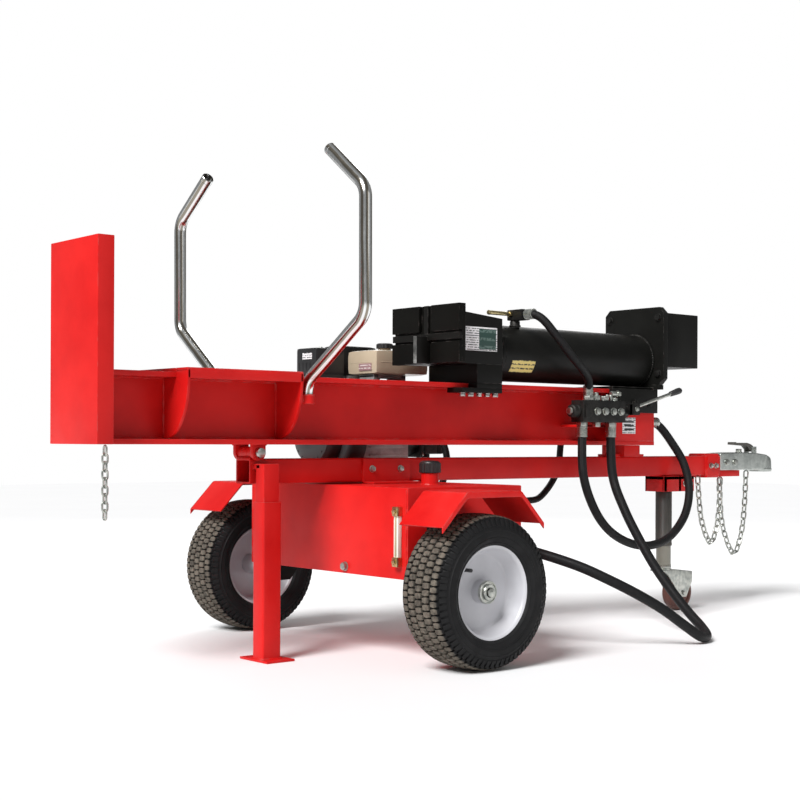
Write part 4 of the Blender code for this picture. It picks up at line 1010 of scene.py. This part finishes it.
def make_axle(side, name):
    wall = tank_wall(side)
    plate([(-55, 395), (-55, 200), (-25, 165), (25, 165), (55, 200), (55, 395)], "y", side * (wall + 0.3),
        side * (wall + 10), soft=1.6)
    rod((0, side * (wall + 9), AXLE_Z), (0, side * 430, AXLE_Z), 22, 1.5)
    rod((0, side * 425, AXLE_Z), (0, side * 572, AXLE_Z), 12.2, 1.5)
    seam(3, (0, side * (wall + 10.3), AXLE_Z), Y, 22.5)
    piece(name + "_stub", BLACK, "chassis", name)
    for x in (-36, 36):
        for z in (245, 360):
            hexagon((x, side * (wall + 10), z), Y * side, 16.5, 6.5, washer=11.5)
    piece(name + "_bolts", ZINC, "chassis")


def tread(centre, side):
    """Staggered rows of turf blocks, with lugs over the shoulders."""
    def tread_radius(w):
        w = abs(w)
        if w <= 30:
            return 203 - 0.6 * (w / 30) ** 2
        if w <= 61:
            return 202.4 - 3.6 * (w - 30) / 31
        return 198.8 - 14.8 * (w - 61) / 17

    def block(layers, loop):
        """Stacked loops of (angle, radius, place across), closed on top."""
        rings = [[shape.verts.new((r * cos(a), r * sin(a), w)) for a, r, w in loop(depth, grow)]
                 for depth, grow in layers]
        for one, two in zip(rings, rings[1:]):
            skin(shape, one, two)
        shape.faces.new(rings[-1])

    def turf(depth, grow):
        for sa, sw in ((-1, -1), (1, -1), (1, 0), (1, 1), (-1, 1), (-1, 0)):
            w = row + sw * (half + grow)
            yield middle + sa * (5.6 + grow + (0 if sw else 2.2)) / 203, tread_radius(w) - depth, w

    def lug(depth, grow):
        for sa, w in ((-1, 69), (1, 69), (1, 78.5), (-1, 78.5)):
            w += grow if w > 70 else -grow
            r = tread_radius(min(w, 78)) - depth * 0.8 - (10 if w > 75 else 0)
            yield middle + sa * (6 + grow) / 203, r, sign * (w - depth * 0.6)

    shape = bmesh.new()
    count = 68
    step = 2 * pi / count
    rows = ((-54.5, 10.4, 0), (-27.5, 10.6, 0.5), (0, 10.6, 0), (27.5, 10.6, 0.5), (54.5, 10.4, 0))
    for row, half, shift in rows:
        for k in range(count):
            middle = (k + shift) * step
            block(((8.5, 1), (1, 0), (0, -1.1)), turf)
    for sign in (-1, 1):
        for k in range(count):
            middle = (k + 0.5) * step
            block(((7, 0.8), (0.7, 0), (0, -0.9)), lug)
    merge(shape, turn_basis(centre, Y * side))


def make_wheel(side, prefix):
    centre = Vector((0, side * 519, AXLE_Z))
    out = Y * side
    half = [(0, 195.3), (30, 194.8), (56, 191.8), (66, 187), (73.5, 179), (77.5, 170), (78.8, 166), (80, 165),
        (80.5, 163), (79.8, 161.2), (80.6, 156), (81, 150), (80.6, 147), (79.3, 145.2), (80, 144), (79.6, 142),
        (76.8, 138.5), (73.5, 133), (72.2, 131), (72.6, 129.5), (70, 126.5), (67.2, 124.5), (60, 119.5),
        (56, 118), (55.5, 120), (64, 140), (60, 178), (0, 185)]
    outline = half + [(-a, r) for a, r in reversed(half[1:-1])]
    lathe(centre, out, outline + [outline[0]], 128)
    tread(centre, side)
    piece(prefix + "_turf_tyre", RUBBER, prefix + "_wheel", prefix + "_tyre", crease=30)
    flange = [(65.5, 120.5), (66, 122.2), (64.8, 123), (62.5, 122.2), (60, 118.5), (57.5, 116.8), (25, 111),
        (20, 107.5)]
    profile = flange + [(-a, r) for a, r in reversed(flange)] + [(-62, 116), (-56, 113.8), (-23, 107.5),
        (-18, 103.6), (1, 103.4), (4, 100), (5.5, 94), (6, 50), (6, 30), (-60, 30), (-60, 12.8), (40, 12.8),
        (40, 29), (39, 30), (18, 30), (15, 31), (13.5, 34), (13, 50), (12.8, 80), (12, 92), (11.8, 97),
        (13.5, 100.5), (18, 103), (23, 104.8), (28, 108.5), (56, 113.6), (62, 116), (65.5, 120.5)]
    lathe(centre, out, profile, 128)
    piece(prefix + "_dished_rim", WHITE, prefix + "_wheel", prefix + "_rim", crease=40)
    lathe(centre, out, [(38.5, 13.2), (38.5, 29.2), (39.2, 30.4), (47, 30.4), (49, 28.6), (49, 26.2),
        (47, 25.4), (47, 22.2), (52, 21.4), (54, 19.6), (54, 13.2), (38.5, 13.2)], 48)
    hexagon(centre + out * 54.1, out, 21.5, 4.5, turned=11)
    rod(centre + out * 50, centre + out * 59, 6.8, 1.5)
    piece(prefix + "_hub_nut", ZINC, prefix + "_wheel")
    stem = centre + Vector((-59.4, side * 12.8, 59.4))
    lathe(stem, out, [(-1, 0), (-1, 7.8), (3, 7.2), (8, 5), (24, 4.4), (24.5, 5.2), (33, 5), (34.5, 3.8),
        (34.5, 0)], 20)
    piece(prefix + "_valve_stem", PLASTIC, prefix + "_wheel")


def make_coupler():
    plate([(1660.3, 491.3), (1660.3, 552), (1700, 554.5), (1760, 556), (1820, 555.5), (1880, 553), (1920, 549),
        (1944, 546), (1944, 491.3)], "y", -36.8, 36.8, soft=8, segments=3)
    lathe((1944, 0, 484), Z, [(0, 26.2), (0, 40), (2, 42.8), (6, 44), (10, 44), (12, 42.5), (40, 41.5),
        (51, 38.5), (58, 31), (62.5, 19), (64, 0)], 56)
    lathe((1944, 0, 484), Z, [(0, 26.4), (18, 26.2), (28, 22), (36, 14), (40.5, 0)], 40)
    for y in (-20, 14):
        box(1873, 1897, y, y + 6, 545, 577, 1.5)
    piece("coupler_casting", COUPLER, "chassis", "coupler")
    for x in (1695, 1742):
        for side in (-1, 1):
            hexagon((x, side * 36.8, 520), Y * side, 18, 6.5, washer=12.5, turned=9)
    hexagon((1815, 0, 555.2), Z, 19, 11, washer=13)
    for side in (-1, 1):
        hexagon((1885, side * 20.2, 566), Y * side, 11, 3.5)
    piece("coupler_bolts", ZINC, "chassis")
    plate([(1765, 584), (1765, 591), (1850, 591), (1870, 586.5), (1884, 580), (1892, 571.5), (1892, 558),
        (1872, 560.5), (1845, 580)], "y", -13, 13, soft=1.2)
    rod((1885, -13.8, 566), (1885, 13.8, 566), 8, 1)
    box(1765.5, 1785, -12.5, 12.5, 591, 593.5, 1)
    piece("coupler_latch_lever", DARK, "coupler_latch", "coupler_latch")


def make_chains():
    near = smooth_route([(1544, -24, 474), (1545, -28, 410), (1556, -34, 310), (1602, -37, 232),
        (1648, -32, 300), (1669, -26, 400), (1671, -20, 467.5)], 10)
    far = smooth_route([(1729, 18, 467.5), (1733, 22, 400), (1762, 30, 280), (1832, 34, 178), (1880, 33, 260),
        (1894, 29, 390), (1896, 26, 490.2)], 10)
    chain(near, 24, 37, 5.8)
    piece("near_safety_chain_links", ZINC, "chassis", "near_safety_chain")
    chain(far, 24, 37, 5.8)
    piece("far_safety_chain_links", ZINC, "chassis", "far_safety_chain")


def make_jack():
    box(1337, 1355, -42, 42, 420, 474.5, 2)
    box(1337, 1502, -42, 42, 460.5, 474.5, 2)
    for side in (-1, 1):
        box(1337, 1502, side * 34.2, side * 42, 420, 474.5, 2)
    box(1416.5, 1432, -42, 42, 420, 474.5, 2)
    piece("jack_bracket_channel", RED, "chassis", "jack_bracket")
    for x in (1450, 1480):
        for side in (-1, 1):
            hexagon((x, side * 42, 447), Y * side, 15, 6, washer=10.5)
    piece("jack_bracket_bolts", ZINC, "chassis")
    lathe((1387, 0, 230), Z, [(0, 26.3), (0, 28), (1, 29), (10, 29), (11, 28.4), (240.5, 28.4), (241.8, 27.8),
        (241.8, 26.3), (0, 26.3)], 56)
    piece("jack_sleeve_tube", DARK, "chassis", "jack_sleeve")
    lathe((1387, 0, 160.3), Z, [(0, 21.6), (0, 24.8), (1, 25.6), (219, 25.6), (220, 24.8), (220, 21.6),
        (0, 21.6)], 56)
    seam(1.6, (1387, 0, 162.5), Z, 25.6)
    piece("jack_inner_tube", JACK, "jack_tube", "jack_tube")
    yoke = [(1351, 146), (1427, 146), (1509, 136), (1509, 102), (1477, 47), (1445, 47), (1381, 126)]
    for side in (-1, 1):
        plate(yoke, "y", side * 24.7, side * 30, soft=1.2)
    plate([(1351, 146), (1427, 146), (1509, 136), (1509, 131.5), (1427, 140.5), (1351, 140.5)], "y", -29.5,
        29.5, soft=1.2)
    lathe((1387, 0, 140), Z, [(4, 0), (4, 26.5), (6, 27.2), (10, 27.2), (11, 24.5), (12.5, 24.5), (13.5, 27),
        (18, 27), (19.8, 25.2), (19.8, 0)], 48)
    rod((1461, -35, 62.5), (1461, 35, 62.5), 5.7, 1)
    for side in (-1, 1):
        hexagon((1461, side * 30.1, 62.5), Y * side, 13, 5.5)
    piece("caster_yoke", ZINC, "caster_fork", "caster_fork")
    lathe((1461, 0, 62.5), Y, [(-22, 6.5), (-22, 15), (-18, 17), (-16, 43), (-19, 45.5), (-20.5, 51), (-18, 58),
        (-11, 62), (0, 62.5), (11, 62), (18, 58), (20.5, 51), (19, 45.5), (16, 43), (18, 17), (22, 15),
        (22, 6.5), (-22, 6.5)], 56)
    piece("caster_roller", CASTER, "caster_wheel", "caster_wheel")


# ---------------------------------------------------------------- engine and pump
def make_engine():
    box(100, 450, 170, 430, 470.4, 478.3, 1.5)
    piece("engine_plate_detailed", BLACK, "chassis", "engine_plate")
    box(190.5, 390, 210, 400, 486.6, 690, 10)
    box(190.5, 400, 190, 415, 478.7, 490.6, 3)
    lathe((380, 300, 600), X, [(0, 0), (0, 60), (21, 60), (24.5, 56.5), (24.5, 0)], 48)
    for z in (520, 545, 570, 595, 620, 645):
        box(230, 382, 206.2, 212, z, z + 6, 1)
        box(230, 382, 398, 404.2, z, z + 6, 1)
    box(250, 270, 215, 286, 688, 799, 2)
    box(360, 380, 215, 286, 688, 799, 2)
    box(250, 380, 215, 286, 790, 799.8, 2)
    piece("crankcase_casting", CAST, "chassis", "crankcase")
    for x, y in ((205, 198), (385, 198), (205, 407), (385, 407)):
        hexagon((x, y, 490.8), Z, 13, 6, washer=9.5)
    for k in range(6):
        a = radians(60 * k + 20)
        hexagon((404.6, 300 + 50 * cos(a), 600 + 50 * sin(a)), X, 9, 0.3)
    hexagon((245, 209.8, 503), -Y, 14, 8, washer=10)
    piece("crankcase_bolts", ZINC, "chassis")
    box(235, 375, 300, 395, 690.5, 780, 3)
    for k in range(8):
        z = 698 + 9.6 * k
        box(223, 387, 290, 408, z, z + 3.4, 1.2)
    box(250, 340, 345, 387, 779, 799.8, 5)
    rod((360, 330, 772), (360, 330, 798.5), 7.2, 2)
    piece("cylinder_head_finned", CAST, "chassis", "cylinder_head")
    z = 610
    lathe((189.7, 300, z), -X, [(0, 50), (0, 130), (1.2, 132), (52, 132), (60, 129.5), (66.5, 123), (70, 115),
        (70, 50), (0, 50)], 72)
    piece("fan_shroud", PLASTIC, "chassis", "recoil_housing")
    lathe((122, 300, z), -X, [(0, 0), (0, 98), (33, 98), (42, 94.5), (52, 87.5), (58, 70), (61, 45), (62, 25),
        (60, 20), (56, 18), (56, 0)], 72)
    for k in range(18):
        a = 2 * pi * k / 18
        basis = Matrix.Translation((0, 300, z)) @ Matrix.Rotation(a, 4, "X")
        box(64.8, 70, 40, 80, -2.8, 2.8, 1, basis)
    piece("recoil_cover", PLASTIC, "chassis")
    lathe((105, 270, 723), Y, [(0, 0), (0, 6.8), (3, 8.8), (12, 9), (20, 7.8), (30, 8.6), (40, 7.8), (48, 9),
        (57, 8.8), (60, 6.8), (60, 0)], 32)
    rod((105, 300, 708.6), (105, 300, 722), 4.9, 1)
    piece("recoil_grip_handle", PLASTIC, "recoil_grip", "recoil_grip")
    box(240, 455, 190, 338, 800.4, 876, 18)
    lathe((330, 260, 870), Z, [(0, 0), (0, 26), (5.8, 25.5), (7.2, 22.5), (8, 20), (14, 20), (14, 0)], 40)
    outline = [(239.3, 208), (239.3, 320), (258, 338.7), (437, 338.7), (455.7, 320), (455.7, 208), (437, 189.3),
        (258, 189.3)]
    plate(outline, "z", 836.5, 839, soft=0.6, segments=1)
    piece("fuel_tank_shell", CREAM, "chassis", "fuel_tank")
    box(238.5, 239.9, 214, 276, 812, 834, 0.4)
    piece("fuel_tank_label", PINK, "chassis")
    plate(grooved(330, 260, 27, 60, 5, 3), "z", 884.5, 898, soft=0.9, segments=1)
    lathe((330, 260, 897.8), Z, [(0, 0), (0, 25), (2.2, 23.5), (3.8, 18), (4.1, 0)], 40)
    piece("fuel_cap_knob", PLASTIC, "fuel_cap", "fuel_cap")
    box(120, 234.5, 342, 445, 800, 884, 10)
    box(122, 232.5, 344, 443, 780, 803.5, 6)
    rod((205, 380, 690.5), (205, 380, 790), 15.5, 1)
    for k in range(5):
        box(118.8, 121.5, 352 + 19 * k, 361 + 19 * k, 812, 838, 1)
    piece("air_cleaner_box", PLASTIC, "chassis", "air_cleaner")
    box(119.2, 120.1, 362, 412, 848, 868, 0.3)
    piece("air_cleaner_label", LABEL, "chassis")
    rod((177, 393.5, 884), (177, 393.5, 887.5), 10, 1)
    hexagon((177, 393.5, 885), Z, 11, 5)
    piece("air_cleaner_nut", ZINC, "chassis")
    box(260, 420, 408.7, 490, 740, 900, 16)
    for k in range(6):
        box(275 + 22 * k, 287 + 22 * k, 489.5, 491.5, 765, 875, 0.8)
    rod((415, 450, 770), (450, 450, 770), 14, 1, bore=12)
    piece("muffler_shell", IRON, "chassis", "muffler")
    rod((300, 209.5, 660), (300, 198.5, 660), 9.8, 1)
    box(296.7, 303.3, 198.8, 201.8, 655, 712, 0.8)
    box(293.2, 306.8, 190.2, 201.8, 705.5, 724.8, 2.8)
    piece("throttle_lever_arm", PLASTIC, "throttle_lever", "throttle_lever")


def make_pump():
    lathe((405.5, 300, 600), X, [(0, 0), (0, 62), (7, 62), (10, 58.5), (48, 52), (60, 52), (62.5, 56),
        (69.5, 56), (69.5, 0)], 56)
    box(467, 475, 240, 360, 540, 660, 4)
    box(474.5, 500, 258, 342, 550, 650, 6)
    box(500.5, 556, 258, 342, 550, 650, 6)
    box(556.5, 580, 258, 342, 550, 650, 6)
    rod((528, 300, 525), (528, 300, 555), 22, 1.5)
    rod((528, 234, 600), (528, 260, 600), 15, 1.5)
    piece("gear_pump_body", IRON, "chassis", "gear_pump")
    for y in (270, 330):
        for z in (562, 638):
            hexagon((580, y, z), X, 12.5, 6, washer=9)
    for y in (249, 351):
        for z in (549, 651):
            hexagon((475, y, z), X, 11.5, 6, washer=8.5)
    piece("gear_pump_bolts", ZINC, "chassis")


make_tongue()
make_leg()
make_tank()
for side, where in ((-1, "near"), (1, "far")):
    make_fender(side, where + "_fender")
    make_axle(side, where + "_axle")
    make_wheel(side, where)
make_coupler()
make_chains()
make_jack()
make_engine()
make_pump()

# ---------------------------------------------------------------- floor
shape = bmesh.new()
bmesh.ops.create_grid(shape, x_segments=2, y_segments=2, size=14)
floor_mesh = bpy.data.meshes.new("floor")
shape.to_mesh(floor_mesh)
shape.free()
floor = bpy.data.objects.new("floor", floor_mesh)
floor.location = (0, 0, -0.0004)
bpy.context.scene.collection.objects.link(floor)
floor_look = Look("studio_floor")
floor_tone = floor_look.mix(floor_look.noise(1.5), (0.86, 0.86, 0.865), (0.90, 0.90, 0.905))
floor_mesh.materials.append(floor_look.end(floor_tone, 0.85))
